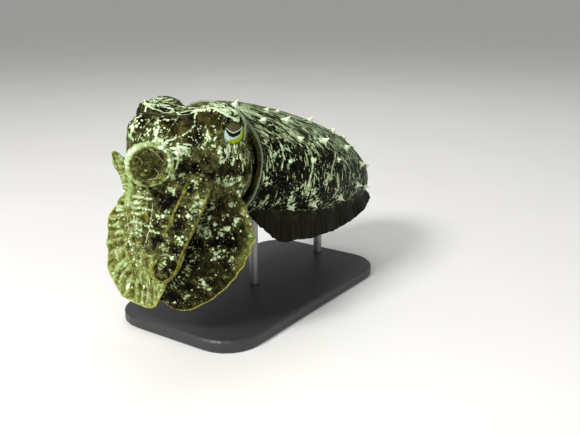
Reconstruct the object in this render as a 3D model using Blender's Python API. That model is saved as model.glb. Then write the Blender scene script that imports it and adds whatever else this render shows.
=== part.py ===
"""A life-size display model of a broadclub cuttlefish that hovers with its arms hanging, on a plain stand.

The animal is laid out round the point midway between its eyes: +X is its own left, -Y its front and +Z up.
An empty carries that layout to its place over the stand, whose underside has the origin at its centre.
"""

import math

import bmesh
import bpy
import numpy as np
from mathutils import Matrix
from mathutils.bvhtree import BVHTree

# Driving dimensions, in metres
MANTLE_LENGTH = 0.226
MANTLE_PITCH = math.radians(16)
EYES_ABOVE_FLOOR = 0.162
EYES_AHEAD = 0.078
GAP = 0.0003

# Mantle: distance from the rim, half width, height above its axis, depth below it
RIM_CENTRE = np.array([0.0, 0.0230, -0.0310])
MANTLE_STATIONS = [
    (0.000, 0.0480, 0.0452, 0.0433),
    (0.028, 0.0562, 0.0502, 0.0439),
    (0.064, 0.0630, 0.0512, 0.0423),
    (0.101, 0.0618, 0.0496, 0.0393),
    (0.138, 0.0535, 0.0462, 0.0352),
    (0.174, 0.0435, 0.0390, 0.0283),
    (0.202, 0.0330, 0.0288, 0.0200),
    (0.217, 0.0225, 0.0188, 0.0127),
    (0.2245, 0.0105, 0.0085, 0.0060),
]
MANTLE_ROWS = 17
MANTLE_SIDES = 26
NUCHAL_LOBE = 0.016
BELLY_NOTCH = 0.010
RIM_FADE = 0.060
RIM_THICK = 0.0035
BOWL_DEPTH = 0.018

# Fins
FIN_START = 0.010
FIN_END = 0.2240
FIN_WIDTH = 0.027
FIN_NARROWING = 0.50
FIN_ROOT_THICK = 0.0034
FIN_EDGE_THICK = 0.0010
FIN_ROOT_ANGLE = math.radians(-42)
FIN_DROOP = math.radians(20)
FIN_SINK = 0.004
FIN_WAVE = 0.0028
FIN_WAVES = 5.5
FIN_ROWS = 32

PAPILLA_SIDES = 6
PAPILLA_LEAN = 0.35

# Head
EYE_SIDE = 0.0362
EYE_FORWARD = 0.0030
EYE_RADIUS = 0.0125
EYE_GAZE = np.array([0.93, -0.36, 0.05])
LID_RADIUS = 0.0128
LID_THICK = 0.0026
HEAD_CENTRE = np.array([0.0, -0.004, -0.006])
HEAD_SIDES = 24
HEAD_RINGS = (9, 15, 19, 23, 29, 37, 46, 57, 68, 79, 90)
HEAD_BLEND = 0.004

# Arms
MEMBRANE_THICK = 0.0011
ARM_SPLITS = (0.0, 0.40, 0.72, 1.0)
ARM_ROWS = (8, 7, 7)
COIL_START = math.radians(-12)
COIL_SINK = 0.003
SUCKERS_IN_ROW = 8
SUCKER_SIDES = 5

# Stand
BASE_LENGTH = 0.230
BASE_WIDTH = 0.130
BASE_THICK = 0.010
BASE_CORNER = 0.030
BASE_BEVEL = 0.0015
ROD_RADIUS = 0.004
ROD_SIDES = 16
ROD_STATIONS = {"stand_rod_front": 0.065, "stand_rod_rear": 0.170}

# Base colour and roughness of each finish
FINISHES = {
    "mantle_skin": ((0.16, 0.14, 0.075), 0.55),
    "fin_skin": ((0.30, 0.27, 0.19), 0.45),
    "head_skin": ((0.20, 0.165, 0.07), 0.50),
    "arm_skin": ((0.26, 0.225, 0.09), 0.50),
    "eye": ((0.62, 0.74, 0.66), 0.15),
    "beak": ((0.05, 0.03, 0.02), 0.30),
    "stand": ((0.09, 0.09, 0.095), 0.40),
}


def material(name, finish):
    """The Principled material of one sub-part."""
    made = bpy.data.materials.new(name)
    made.use_nodes = True
    shader = made.node_tree.nodes["Principled BSDF"]
    colour, roughness = FINISHES[finish]
    shader.inputs["Base Color"].default_value = (*colour, 1.0)
    shader.inputs["Roughness"].default_value = roughness
    shader.inputs["Metallic"].default_value = 0.0
    return made


def unit(vectors):
    """The vectors at length one."""
    vectors = np.asarray(vectors, float)
    return vectors / np.maximum(np.linalg.norm(vectors, axis=-1, keepdims=True), 1e-12)


def smooth_path(knots, count):
    """count rows, evenly spaced by length, on a Catmull-Rom curve through the knots."""
    k = np.asarray(knots, float)
    ends = np.vstack([2 * k[0] - k[1], k, 2 * k[-1] - k[-2]])
    t = np.linspace(0, 1, 24, endpoint=False)[:, None]
    rows = [
        0.5 * (2 * b + (c - a) * t + (2 * a - 5 * b + 4 * c - d) * t**2 + (3 * b - a - 3 * c + d) * t**3)
        for a, b, c, d in zip(ends, ends[1:], ends[2:], ends[3:])
    ]
    rows = np.vstack([*rows, k[-1:]])
    steps = np.linalg.norm(np.diff(rows[:, :3], axis=0), axis=1)
    length = np.r_[0, np.cumsum(steps)]
    at = np.linspace(0, length[-1], count)
    return np.column_stack([np.interp(at, length, column) for column in rows.T])


def add_object(name, points, faces, finish, organic=True):
    """A mesh object of these points and faces, turned outwards; organic ones are smooth and in triangles."""
    mesh = bpy.data.meshes.new(name)
    mesh.from_pydata([tuple(p) for p in points], [], faces)
    shell = bmesh.new()
    shell.from_mesh(mesh)
    if organic:
        bmesh.ops.triangulate(shell, faces=shell.faces)
    bmesh.ops.recalc_face_normals(shell, faces=shell.faces)
    if shell.calc_volume(signed=True) < 0:
        bmesh.ops.reverse_faces(shell, faces=shell.faces)
    shell.to_mesh(mesh)
    shell.free()
    if organic:
        mesh.shade_smooth()
    made = bpy.data.objects.new(name, mesh)
    made.data.materials.append(material(name, finish))
    bpy.context.scene.collection.objects.link(made)
    return made


def ring_solid(name, rings, finish):
    """A closed solid through rings of equal size; a ring of one point closes an end."""
    points = []
    starts = []
    for ring in rings:
        starts.append(len(points))
        points.extend(ring)
    sides = max(len(ring) for ring in rings)
    faces = []
    for r in range(len(rings) - 1):
        a, b = starts[r], starts[r + 1]
        for j in range(sides):
            k = (j + 1) % sides
            if len(rings[r]) == 1:
                faces.append((a, b + j, b + k))
            elif len(rings[r + 1]) == 1:
                faces.append((a + j, b, a + k))
            else:
                faces.append((a + j, b + j, b + k, a + k))
    return add_object(name, points, faces, finish)


def ribbon_solid(name, upper, lower, finish):
    """A closed vane between two grids of points, cut into the same triangles on both faces."""
    rows, across = upper.shape[:2]
    points = np.vstack([upper.reshape(-1, 3), lower.reshape(-1, 3)])
    under = rows * across
    faces = []
    for i in range(rows - 1):
        for j in range(across - 1):
            a, b = i * across + j, (i + 1) * across + j
            c, d = b + 1, a + 1
            faces += [(a, b, c), (a, c, d)]
            faces += [(a + under, c + under, b + under), (a + under, d + under, c + under)]
        for a in (i * across, i * across + across - 1):
            faces.append((a, a + across, a + across + under, a + under))
    for a in (0, (rows - 1) * across):
        for j in range(across - 1):
            faces.append((a + j, a + j + 1, a + j + 1 + under, a + j + under))
    return add_object(name, points, faces, finish)


def swap_mesh(target, mesh):
    """Puts another mesh in an object and removes the old one."""
    old = target.data
    target.data = mesh
    target.modifiers.clear()
    bpy.data.meshes.remove(old)


def remove(obj):
    """Removes an object and its mesh."""
    mesh = obj.data
    bpy.data.objects.remove(obj)
    bpy.data.meshes.remove(mesh)


def apply_modifiers(target):
    """Makes the object's modifiers permanent."""
    graph = bpy.context.evaluated_depsgraph_get()
    swap_mesh(target, bpy.data.meshes.new_from_object(target.evaluated_get(graph)))


def keep_largest(target):
    """Drops every closed surface of the object but the largest."""
    shell = bmesh.new()
    shell.from_mesh(target.data)
    left = set(shell.faces)
    bodies = []
    while left:
        stack = [left.pop()]
        body = set(stack)
        while stack:
            face = stack.pop()
            for edge in face.edges:
                for other in edge.link_faces:
                    if other in left:
                        left.discard(other)
                        body.add(other)
                        stack.append(other)
        bodies.append(body)
    bodies.sort(key=lambda body: sum(face.calc_area() for face in body))
    for body in bodies[:-1]:
        bmesh.ops.delete(shell, geom=list(body), context="FACES")
    loose = [vert for vert in shell.verts if not vert.link_faces]
    bmesh.ops.delete(shell, geom=loose, context="VERTS")
    shell.to_mesh(target.data)
    shell.free()


def subtract(target, tool):
    """Cuts the tool out of the target."""
    cut = target.modifiers.new("cut", "BOOLEAN")
    cut.operation = "DIFFERENCE"
    cut.solver = "MANIFOLD"
    cut.object = tool
    apply_modifiers(target)
    keep_largest(target)


def fuse(target, pieces):
    """Joins the pieces to the target in one union, and removes them."""
    group = bpy.data.collections.new("fused")
    bpy.context.scene.collection.children.link(group)
    for piece in pieces:
        bpy.context.scene.collection.objects.unlink(piece)
        group.objects.link(piece)
    join = target.modifiers.new("join", "BOOLEAN")
    join.operation = "UNION"
    join.solver = "MANIFOLD"
    join.operand_type = "COLLECTION"
    join.collection = group
    apply_modifiers(target)
    for piece in list(group.objects):
        remove(piece)
    bpy.data.collections.remove(group)
    keep_largest(target)


def swollen(source, by):
    """A copy of a solid with its surface moved out along its normals."""
    mesh = source.data.copy()
    normals = np.zeros(len(mesh.vertices) * 3)
    places = np.zeros(len(mesh.vertices) * 3)
    mesh.vertices.foreach_get("co", places)
    mesh.vertex_normals.foreach_get("vector", normals)
    mesh.vertices.foreach_set("co", places + normals * by)
    made = bpy.data.objects.new(source.name + "_swollen", mesh)
    bpy.context.scene.collection.objects.link(made)
    return made


def cut_clear(target, neighbours):
    """Cuts the target back from its neighbours, leaving the gap between them."""
    for neighbour in neighbours:
        tool = swollen(neighbour, GAP * 1.15)
        subtract(target, tool)
        remove(tool)


def centre_origin(obj):
    """Moves an object's origin to the middle of its bounds, so that its location says where it is."""
    corners = np.array(obj.bound_box)
    middle = (corners.min(0) + corners.max(0)) / 2
    obj.data.transform(Matrix.Translation(-middle))
    obj.location = middle


# Mantle

MANTLE_TABLE = smooth_path([(s[0], s[1], s[2], s[3]) for s in MANTLE_STATIONS], 200)
BODY_AXIS = np.array([0.0, math.cos(MANTLE_PITCH), -math.sin(MANTLE_PITCH)])
BODY_UP = np.array([0.0, math.sin(MANTLE_PITCH), math.cos(MANTLE_PITCH)])


def mantle_sizes(v):
    """Half width, height and depth of the mantle at distance v behind its rim."""
    return [np.interp(v, MANTLE_TABLE[:, 0], MANTLE_TABLE[:, c]) for c in (1, 2, 3)]


def mantle_point(v, angle, inset=0.0):
    """A point of the mantle's surface: angle 0 is its left side, a quarter turn its back."""
    half_width, height, depth = mantle_sizes(v)
    up = height if math.sin(angle) > 0 else depth
    across = (half_width - inset) * math.copysign(abs(math.cos(angle)) ** 0.92, math.cos(angle))
    rise = (up - inset) * math.copysign(abs(math.sin(angle)) ** 0.92, math.sin(angle))
    fade = max(0.0, 1 - v / RIM_FADE) ** 2
    lobe = NUCHAL_LOBE * max(0.0, math.sin(angle)) ** 2 - BELLY_NOTCH * max(0.0, -math.sin(angle)) ** 2
    along = v - lobe * fade
    return RIM_CENTRE + BODY_AXIS * along + BODY_UP * rise + np.array([across, 0.0, 0.0])


def mantle_normal(v, angle):
    """The outward normal of the mantle's surface."""
    step = 1e-3
    along = mantle_point(v + step, angle) - mantle_point(v - step, angle)
    around = mantle_point(v, angle + 0.02) - mantle_point(v, angle - 0.02)
    normal = unit(np.cross(around, along))
    outward = mantle_point(v, angle) - RIM_CENTRE - BODY_AXIS * v
    return normal if normal @ outward > 0 else -normal


def build_mantle():
    """The mantle, with the shallow bowl behind its rim that the neck goes into."""
    angles = [2 * math.pi * k / MANTLE_SIDES for k in range(MANTLE_SIDES)]
    last = MANTLE_STATIONS[-1][0]
    along = last * (1 - (1 - np.linspace(0, 1, MANTLE_ROWS)) ** 1.25)
    bowl_floor = mantle_point(0.0, 0.0) * [0, 1, 1] + BODY_AXIS * (BOWL_DEPTH + 0.006)
    rings = [[bowl_floor]]
    for inset, depth in ((0.030, BOWL_DEPTH + 0.004), (0.012, BOWL_DEPTH), (0.0065, BOWL_DEPTH * 0.6),
                         (RIM_THICK + 0.0012, BOWL_DEPTH * 0.25), (RIM_THICK * 0.72, 0.0006)):
        rings.append([mantle_point(0.0, a, inset) + BODY_AXIS * depth for a in angles])
    rings.append([mantle_point(0.0, a, RIM_THICK * 0.28) for a in angles])
    rings.append([mantle_point(0.0, a) + BODY_AXIS * 0.0018 for a in angles])
    rings += [[mantle_point(v, a) for a in angles] for v in along[1:]]
    tail_tip = RIM_CENTRE + BODY_AXIS * MANTLE_LENGTH
    rings.append([tail_tip])
    return ring_solid("mantle", rings, "mantle_skin")


def fin_root_angle(v):
    """Where the left fin leaves the mantle, at distance v behind the rim."""
    share = (v - FIN_START) / (FIN_END - FIN_START)
    return FIN_ROOT_ANGLE * (1 - 0.55 * share**2)


def fin_grid(hand, rows):
    """Upper and lower face of one fin; hand is 1 on the left and -1 on the right."""
    upper, lower = [], []
    for share in np.linspace(0, 1, rows):
        v = FIN_START + (FIN_END - FIN_START) * share
        angle = fin_root_angle(v)
        root = mantle_point(v, angle)
        normal = mantle_normal(v, angle)
        droop = FIN_DROOP * (1 - share)
        out = unit(normal * math.cos(droop) - BODY_UP * math.sin(droop))
        back = BODY_AXIS
        face = unit(np.cross(back, out))
        if face @ BODY_UP < 0:
            face = -face
        rise = min(1.0, share / 0.16) ** 0.6 * min(1.0, (1 - share) / 0.05 + 0.45)
        width = FIN_WIDTH * rise * (1 - FIN_NARROWING * share**1.5)
        ups, lows = [], []
        for e in (0.0, 0.3, 0.65, 1.0):
            reach = -FIN_SINK + (width + FIN_SINK) * e
            wave = FIN_WAVE * math.sin(2 * math.pi * FIN_WAVES * share) * e**1.5 * rise
            sag = -0.006 * e**2 * (1 - 0.5 * share)
            middle = root + out * reach + face * (wave + sag)
            thick = FIN_ROOT_THICK + (FIN_EDGE_THICK - FIN_ROOT_THICK) * e**0.7
            ups.append(middle + face * thick / 2)
            lows.append(middle - face * thick / 2)
        upper.append(ups)
        lower.append(lows)
    mirror = np.array([hand, 1.0, 1.0])
    return np.array(upper) * mirror, np.array(lower) * mirror


def build_fins(mantle):
    """Both fins, each cut clear of the mantle that its root goes into."""
    fins = []
    for hand, side in ((1, "left"), (-1, "right")):
        fin = ribbon_solid(f"fin_{side}", *fin_grid(hand, FIN_ROWS), "fin_skin")
        cut_clear(fin, [mantle])
        fins.append(fin)
    return fins


# Head

def pair(centre, radii):
    """An ellipsoid and its mirror image."""
    return [(np.array(centre) * [side, 1, 1], np.array(radii)) for side in (1, -1)]


HEAD_FORMS = [
    (np.array([0.0, 0.000, -0.024]), np.array([0.0360, 0.034, 0.038])),
    (np.array([0.0, 0.028, -0.026]), np.array([0.0350, 0.026, 0.034])),
    (np.array([0.0, -0.022, -0.026]), np.array([0.0310, 0.027, 0.034])),
    *pair((0.0290, -0.001, -0.004), (0.0160, 0.0160, 0.0165)),
    *pair((0.0270, -0.003, 0.011), (0.0110, 0.0170, 0.0088)),
    *pair((0.0120, -0.037, -0.002), (0.0098, 0.0150, 0.0155)),
    *pair((0.0215, -0.031, -0.018), (0.0100, 0.0135, 0.0240)),
    *pair((0.0330, -0.018, -0.032), (0.0095, 0.0135, 0.0230)),
    *pair((0.0270, 0.000, -0.042), (0.0130, 0.0150, 0.0180)),
]


def ellipsoid_distance(points, centre, radii):
    """Distance to an ellipsoid, near enough close to its surface."""
    offset = points - centre
    inner = np.linalg.norm(offset / radii, axis=-1)
    outer = np.maximum(np.linalg.norm(offset / radii**2, axis=-1), 1e-9)
    return inner * (inner - 1) / outer


def lid_distance(points, hand):
    """Distance to the ring of skin round an eye, thicker above it."""
    gaze = unit(EYE_GAZE * [hand, 1, 1])
    centre = np.array([hand * EYE_SIDE, -EYE_FORWARD, 0.0]) + gaze * 0.0035
    offset = points - centre
    ahead = offset @ gaze
    across = offset - ahead[..., None] * gaze
    radial = np.linalg.norm(across, axis=-1)
    thick = LID_THICK * (1 + 0.45 * np.clip(across[..., 2] / LID_RADIUS, -0.3, 1))
    return np.sqrt(ahead**2 + (radial - LID_RADIUS) ** 2) - thick


def head_distance(points):
    """Distance to the head's surface: its forms run smoothly into one another."""
    parts = [ellipsoid_distance(points, *form) for form in HEAD_FORMS]
    blend = -HEAD_BLEND * np.log(sum(np.exp(-part / HEAD_BLEND) for part in parts))
    lids = np.minimum(lid_distance(points, 1), lid_distance(points, -1))
    soft = 0.002
    return -soft * np.log(np.exp(-blend / soft) + np.exp(-lids / soft))


def head_surface(directions):
    """Where rays from the head's centre meet its surface."""
    near = np.full(len(directions), 0.008)
    far = np.full(len(directions), 0.110)
    for _ in range(30):
        middle = (near + far) / 2
        inside = head_distance(HEAD_CENTRE + directions * middle[:, None]) < 0
        near = np.where(inside, middle, near)
        far = np.where(inside, far, middle)
    return HEAD_CENTRE + directions * near[:, None]


def build_head(mantle):
    """The head, whose rings of points run round the line through both eyes."""
    towards_eye = unit(np.array([EYE_SIDE, -EYE_FORWARD, 0.0]) - HEAD_CENTRE)
    latitudes = [math.radians(ring) for ring in HEAD_RINGS]
    latitudes += [math.pi - ring for ring in latitudes[-2::-1]]
    rings = []
    for latitude in [0.0, *latitudes, math.pi]:
        weight = abs(math.cos(latitude)) ** 1.5
        lean = towards_eye * [1 if latitude < math.pi / 2 else -1, 1, 1]
        side = np.array([math.copysign(1.0, math.cos(latitude)), 0.0, 0.0])
        pole = unit(side * (1 - weight) + lean * weight)
        first = unit(np.cross(pole, [0, 0, 1]) * math.copysign(1.0, math.cos(latitude)))
        second = np.cross(np.array([1.0, 0, 0]), first)
        second = unit(second - (second @ pole) * pole)
        count = 1 if latitude in (0.0, math.pi) else HEAD_SIDES
        turns = [2 * math.pi * k / HEAD_SIDES for k in range(count)]
        directions = np.array([
            pole * abs(math.cos(latitude)) + (first * math.cos(t) + second * math.sin(t)) * math.sin(latitude)
            for t in turns
        ])
        rings.append(head_surface(unit(directions)))
    head = ring_solid("head", rings, "head_skin")
    add_brow_papillae(head)
    cut_clear(head, [mantle])
    return head


def build_eye(hand, side):
    """An eyeball, its rings round the line of sight."""
    gaze = unit(EYE_GAZE * [hand, 1, 1])
    first = unit(np.cross(gaze, [0, 0, 1]))
    second = np.cross(gaze, first)
    centre = np.array([hand * EYE_SIDE, -EYE_FORWARD, 0.0])
    sides, bands = 18, 9
    rings = [[centre + gaze * EYE_RADIUS]]
    for band in range(1, bands):
        tilt = math.pi * band / bands
        rings.append([
            centre + EYE_RADIUS * (
                gaze * math.cos(tilt)
                + (first * math.cos(turn) + second * math.sin(turn)) * math.sin(tilt)
            )
            for turn in (2 * math.pi * k / sides for k in range(sides))
        ])
    rings.append([centre - gaze * EYE_RADIUS])
    return ring_solid(f"eye_{side}", rings, "eye")


def tube_rings(path, radii, sides, flat=1.0):
    """Rings round a path in the plane x = 0; flat is their height over their width."""
    path = np.array(path)
    along = unit(np.gradient(path, axis=0))
    rings = []
    for point, direction, radius in zip(path, along, radii):
        across = np.array([1.0, 0.0, 0.0])
        rise = unit(np.cross(direction, across)) * flat
        rings.append([
            point + radius * (across * math.cos(turn) + rise * math.sin(turn))
            for turn in (2 * math.pi * k / sides for k in range(sides))
        ])
    return rings


def build_funnel(blockers):
    """The siphon under the head, with its mouth open."""
    outer = smooth_path([(0, 0.040, -0.062), (0, 0.022, -0.069), (0, 0.004, -0.073), (0, -0.008, -0.072)], 7)
    radii = (0.0175, 0.0170, 0.0155, 0.0135, 0.0115, 0.0098, 0.0088)
    rings = tube_rings(outer, radii, 18, 0.62)
    bore = tube_rings(outer[4:], (0.0050, 0.0078, 0.0072), 18, 0.62)
    funnel = ring_solid("funnel", [[outer[0]], *rings, *reversed(bore), [outer[4]]], "head_skin")
    cut_clear(funnel, blockers)
    return funnel


def build_mouth(head):
    """The lips between the roots of the arms, and the beak that shows in them."""
    lip_path = [(0, -0.024, -0.052), (0, -0.025, -0.066), (0, -0.0255, -0.072), (0, -0.0258, -0.0745)]
    rings = tube_rings(lip_path, (0.0125, 0.0120, 0.0095, 0.0062), 18)
    pit = tube_rings([(0, -0.0255, -0.0690), (0, -0.0255, -0.0700)], (0.0030, 0.0050), 18)
    lips = ring_solid("lips", [[lip_path[0]], *rings, pit[1], [(0, -0.0255, -0.0680)]], "head_skin")
    cut_clear(lips, [head])
    beak_path = [(0, -0.0255, -0.0640), (0, -0.0255, -0.0700), (0, -0.0262, -0.0740), (0, -0.0275, -0.0765)]
    rings = tube_rings(beak_path, (0.0044, 0.0042, 0.0028, 0.0006), 12)
    beak = ring_solid("beak", [[beak_path[0]], *rings, [(0, -0.0278, -0.0768)]], "beak")
    cut_clear(beak, [lips])
    return lips, beak


# Arms

def coil_knots(root, centre, radius, last_radius, turns, hand, facing):
    """An arm that leaves its root, goes over the top of a coil and winds inwards."""
    facing = unit(facing)
    ahead = unit(np.cross(facing, [0, 0, 1])) * hand
    up = unit(np.cross(ahead, facing)) * hand
    knots = [np.array(point) for point in root]
    for share in np.linspace(0, 1, int(9 * turns) + 1):
        turn = COIL_START + share * turns * 2 * math.pi
        reach = radius + (last_radius - radius) * share**1.1
        sink = facing * COIL_SINK * share
        knots.append(np.array(centre) + (ahead * math.sin(turn) + up * math.cos(turn)) * reach - sink)
    return knots


ARMS = {
    "arm_left_1": dict(
        hand=1, coil=dict(root=[(0.022, -0.022, -0.0075), (0.0245, -0.042, -0.0045)],
                          centre=(0.0165, -0.063, -0.0165), radius=0.0122, last_radius=0.0030, turns=1.15,
                          facing=(0.84, -0.54, 0.05)),
        facing=((0.1, -0.5, 0.85), (0.1, -0.5, 0.85)), core=0.0090, thick=0.0125, inner=0.001, keel=0.001),
    "arm_right_1": dict(
        hand=-1, coil=dict(root=[(-0.0205, -0.024, -0.011), (-0.0220, -0.039, -0.0085)],
                           centre=(-0.0170, -0.0575, -0.0205), radius=0.0098, last_radius=0.0028, turns=1.1,
                           facing=(-0.70, -0.70, 0.05)),
        facing=((-0.1, -0.5, 0.85), (-0.1, -0.5, 0.85)), core=0.0070, thick=0.0085, inner=0.001, keel=0.001),
    "arm_left_2": dict(
        hand=1, knots=[(0.021, -0.028, -0.014), (0.0265, -0.046, -0.027), (0.0235, -0.056, -0.045),
                       (0.0195, -0.061, -0.061), (0.0138, -0.062, -0.073), (0.0092, -0.0615, -0.0826)],
        facing=((0.5, -0.8, 0.3), (0.3, -0.95, 0.0)), core=0.0078, thick=0.0090, inner=0.001, keel=0.001),
    "arm_left_3": dict(
        hand=1, knots=[(0.030, -0.016, -0.018), (0.038, -0.036, -0.029), (0.0394, -0.050, -0.046),
                       (0.0356, -0.056, -0.061), (0.0310, -0.060, -0.0755), (0.0284, -0.061, -0.0861),
                       (0.0240, -0.061, -0.0939), (0.0171, -0.060, -0.0965), (0.0134, -0.059, -0.093)],
        facing=((0.7, -0.6, 0.3), (0.45, -0.89, 0.0)), core=0.0082, thick=0.0090, inner=0.002, keel=0.002),
    "arm_left_4": dict(
        hand=1, knots=[(0.028, 0.000, -0.036), (0.0390, -0.016, -0.046), (0.0405, -0.028, -0.063),
                       (0.0354, -0.036, -0.0825), (0.0273, -0.041, -0.101), (0.0143, -0.044, -0.1165),
                       (0.0030, -0.046, -0.1245)],
        facing=((0.6, -0.8, 0.0), (0.4, -0.92, 0.0)), core=0.0085, thick=0.0085, inner=0.018, keel=0.0265, wrap=0.060),
    "arm_right_2": dict(
        hand=-1, knots=[(-0.010, -0.034, -0.020), (-0.006, -0.048, -0.033), (-0.0010, -0.057, -0.050),
                        (0.0000, -0.0585, -0.065), (0.0020, -0.0575, -0.0745), (0.0042, -0.0565, -0.0815)],
        facing=((-0.3, -0.9, 0.3), (0.0, -1.0, 0.0)), core=0.0092, thick=0.0085, inner=0.001, keel=0.001),
    "arm_right_3": dict(
        hand=-1, knots=[(-0.030, -0.016, -0.020), (-0.029, -0.036, -0.044), (-0.0175, -0.0495, -0.060),
                        (-0.0115, -0.0535, -0.0773), (-0.0026, -0.054, -0.0927), (0.0040, -0.053, -0.1035)],
        facing=((-0.6, -0.8, 0.3), (-0.3, -0.95, 0.0)), core=0.0095, thick=0.0088, inner=0.005, keel=0.003),
    "arm_right_4": dict(
        hand=-1, knots=[(-0.028, 0.000, -0.038), (-0.0400, -0.016, -0.048), (-0.0410, -0.026, -0.064),
                        (-0.0370, -0.034, -0.083), (-0.0280, -0.040, -0.101), (-0.0140, -0.044, -0.114),
                        (-0.0010, -0.050, -0.1195)],
        facing=((-0.3, -0.95, 0.0), (-0.15, -1.0, 0.0)), core=0.0085, thick=0.0085, inner=0.020, keel=0.027,
        wrap=-0.200),
}


class Arm:
    """One arm's line, its directions and its sizes at any share of its length."""

    def __init__(self, name, hand, core, thick, inner, keel, facing, wrap=None, knots=None, coil=None):
        self.name, self.hand = name, hand
        self.core, self.thick, self.inner, self.keel = core, thick, inner, keel
        self.coil, self.facing, self.wrap = coil, unit(facing), wrap
        if coil:
            knots = coil_knots(hand=hand, **coil)
        self.line = smooth_path(knots, 160)
        self.share = np.linspace(0, 1, 160)
        self.length = np.linalg.norm(np.diff(self.line, axis=0), axis=1).sum()
        self.along = unit(np.gradient(self.line, axis=0))
        outward = self.outward_hints()
        self.out = unit(outward - np.sum(outward * self.along, axis=1)[:, None] * self.along)
        self.side = np.cross(self.out, self.along) * hand

    def outward_hints(self):
        """The way the arm's outer face looks, before it is squared to the arm's line."""
        share = self.share[:, None]
        hints = self.facing[0] * (1 - share) + self.facing[1] * share
        if self.coil:
            wound = np.clip((self.share - 0.16) / 0.14, 0, 1)[:, None]
            hints = hints * (1 - wound) + unit(self.line - np.array(self.coil["centre"])) * wound
        return hints

    def at(self, share):
        """Point, outward direction, direction across and direction along at a share of the length."""
        found = [
            np.array([np.interp(share, self.share, column) for column in table.T])
            for table in (self.line, self.out, self.side, self.along)
        ]
        return found[0], unit(found[1]), unit(found[2]), unit(found[3])

    def sizes(self, share):
        """Core half width, thickness, inner and outer reach at a share of the length."""
        taper = 1 - 0.45 * share**1.6
        end = math.sqrt(max(0.0, 1 - max(0.0, (share - 0.90) / 0.10) ** 2))
        end = max(end, 0.12)
        swell = math.sin(math.pi * min(1.0, share) ** 0.90) ** 0.6 * min(1.0, share / 0.34)
        swell = max(swell, 0.12)
        core = self.core * taper * end
        thick = max(self.thick * (1 - 0.70 * share) * end, MEMBRANE_THICK * 1.3)
        return core, thick, core + self.inner * swell * end, core + self.keel * swell * end

    def offsets(self, share):
        """Stations across the arm: distance from its line and height of its outer and inner face."""
        core, thick, inner, outer = self.sizes(share)
        across = [-inner, -core, -core / 2, 0.0, core / 2, core, outer]
        if self.wrap:
            across[-1:] = [core + (outer - core) * 0.5, outer]
        rows = []
        for c in across:
            bulge = max(0.0, 1 - (c / core) ** 2) ** 0.7
            wrap = -c * c / (2 * self.wrap) if self.wrap else 0.0
            edge = MEMBRANE_THICK / 2
            rows.append((c, wrap + edge + (thick - MEMBRANE_THICK) * 0.62 * bulge,
                         wrap - edge - (thick - MEMBRANE_THICK) * 0.38 * bulge))
        return rows

    def grids(self, shares):
        """The outer and inner face at these shares of the length."""
        upper, lower = [], []
        for share in shares:
            point, out, side, _ = self.at(share)
            rows = self.offsets(share)
            upper.append([point + side * c + out * high for c, high, _ in rows])
            lower.append([point + side * c + out * low for c, _, low in rows])
        return np.array(upper), np.array(lower)


def build_sucker(place, out, radius, height):
    """A short cup on the skin, with its root sunk in."""
    first = unit(np.cross(out, [0.31, 0.52, 0.79]))
    second = np.cross(out, first)
    rings = [[place - out * 0.0011]]
    for reach, rise in ((0.80, -0.0010), (1.0, height * 0.55), (0.82, height)):
        rings.append([
            place + out * rise + radius * reach * (first * math.cos(turn) + second * math.sin(turn))
            for turn in (2 * math.pi * k / SUCKER_SIDES for k in range(SUCKER_SIDES))
        ])
    rings.append([place + out * height * 0.45])
    return ring_solid("sucker", rings, "arm_skin")


def arm_suckers(arm, start, end):
    """Two rows of suckers on the inner face, between two shares of the length."""
    made = []
    for k in range(2 * SUCKERS_IN_ROW):
        share = 0.20 + 0.74 * (k + 0.5) / (2 * SUCKERS_IN_ROW)
        radius = 0.0019 * (1 - 0.60 * share)
        margin = (radius + GAP) / arm.length * 1.3
        if not start + margin < share < end - margin:
            continue
        core, thick, _, _ = arm.sizes(share)
        point, out, side, _ = arm.at(share)
        c = core * 0.42 * (1 if k % 2 else -1)
        bulge = max(0.0, 1 - (c / core) ** 2) ** 0.7
        low = -MEMBRANE_THICK / 2 - (thick - MEMBRANE_THICK) * 0.38 * bulge
        made.append(build_sucker(point + side * c + out * low, -out, radius, radius * 0.8))
    return made


def build_arm(arm):
    """The lengths of one arm, from its root in the head to its tip."""
    lengths = []
    spare = GAP / 2 / arm.length
    names = ("base", "middle", "tip")
    for start, end, rows, part in zip(ARM_SPLITS, ARM_SPLITS[1:], ARM_ROWS, names):
        first = start + (spare if start > 0 else 0)
        last = end - (spare if end < 1 else 0)
        shares = np.linspace(first, last, rows)
        length = ribbon_solid(f"{arm.name}_{part}", *arm.grids(shares), "arm_skin")
        lengths.append((length, start, end))
    return lengths


def boxes_meet(one, other):
    """Whether the bounds of two objects meet."""
    a, b = np.array(one.bound_box), np.array(other.bound_box)
    return bool(np.all(a.min(0) <= b.max(0)) and np.all(b.min(0) <= a.max(0)))


def solids_meet(one, other):
    """Whether the surfaces of two objects cross."""
    trees = []
    for obj in (one, other):
        shell = bmesh.new()
        shell.from_mesh(obj.data)
        trees.append(BVHTree.FromBMesh(shell))
        shell.free()
    return bool(trees[0].overlap(trees[1]))


def build_arms(others):
    """All eight arms; a later piece is cut clear of what stands before it."""
    standing = list(others)
    for name, spec in ARMS.items():
        arm = Arm(name, **spec)
        for length, start, end in build_arm(arm):
            suckers = arm_suckers(arm, start, end)
            if suckers:
                fuse(length, suckers)
            blockers = [other for other in standing
                        if boxes_meet(length, other) and solids_meet(length, other)]
            if blockers:
                print(length.name, "is cut clear of", [other.name for other in blockers])
            cut_clear(length, blockers)
            standing.append(length)
    return standing[len(others):]


# Papillae

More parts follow.
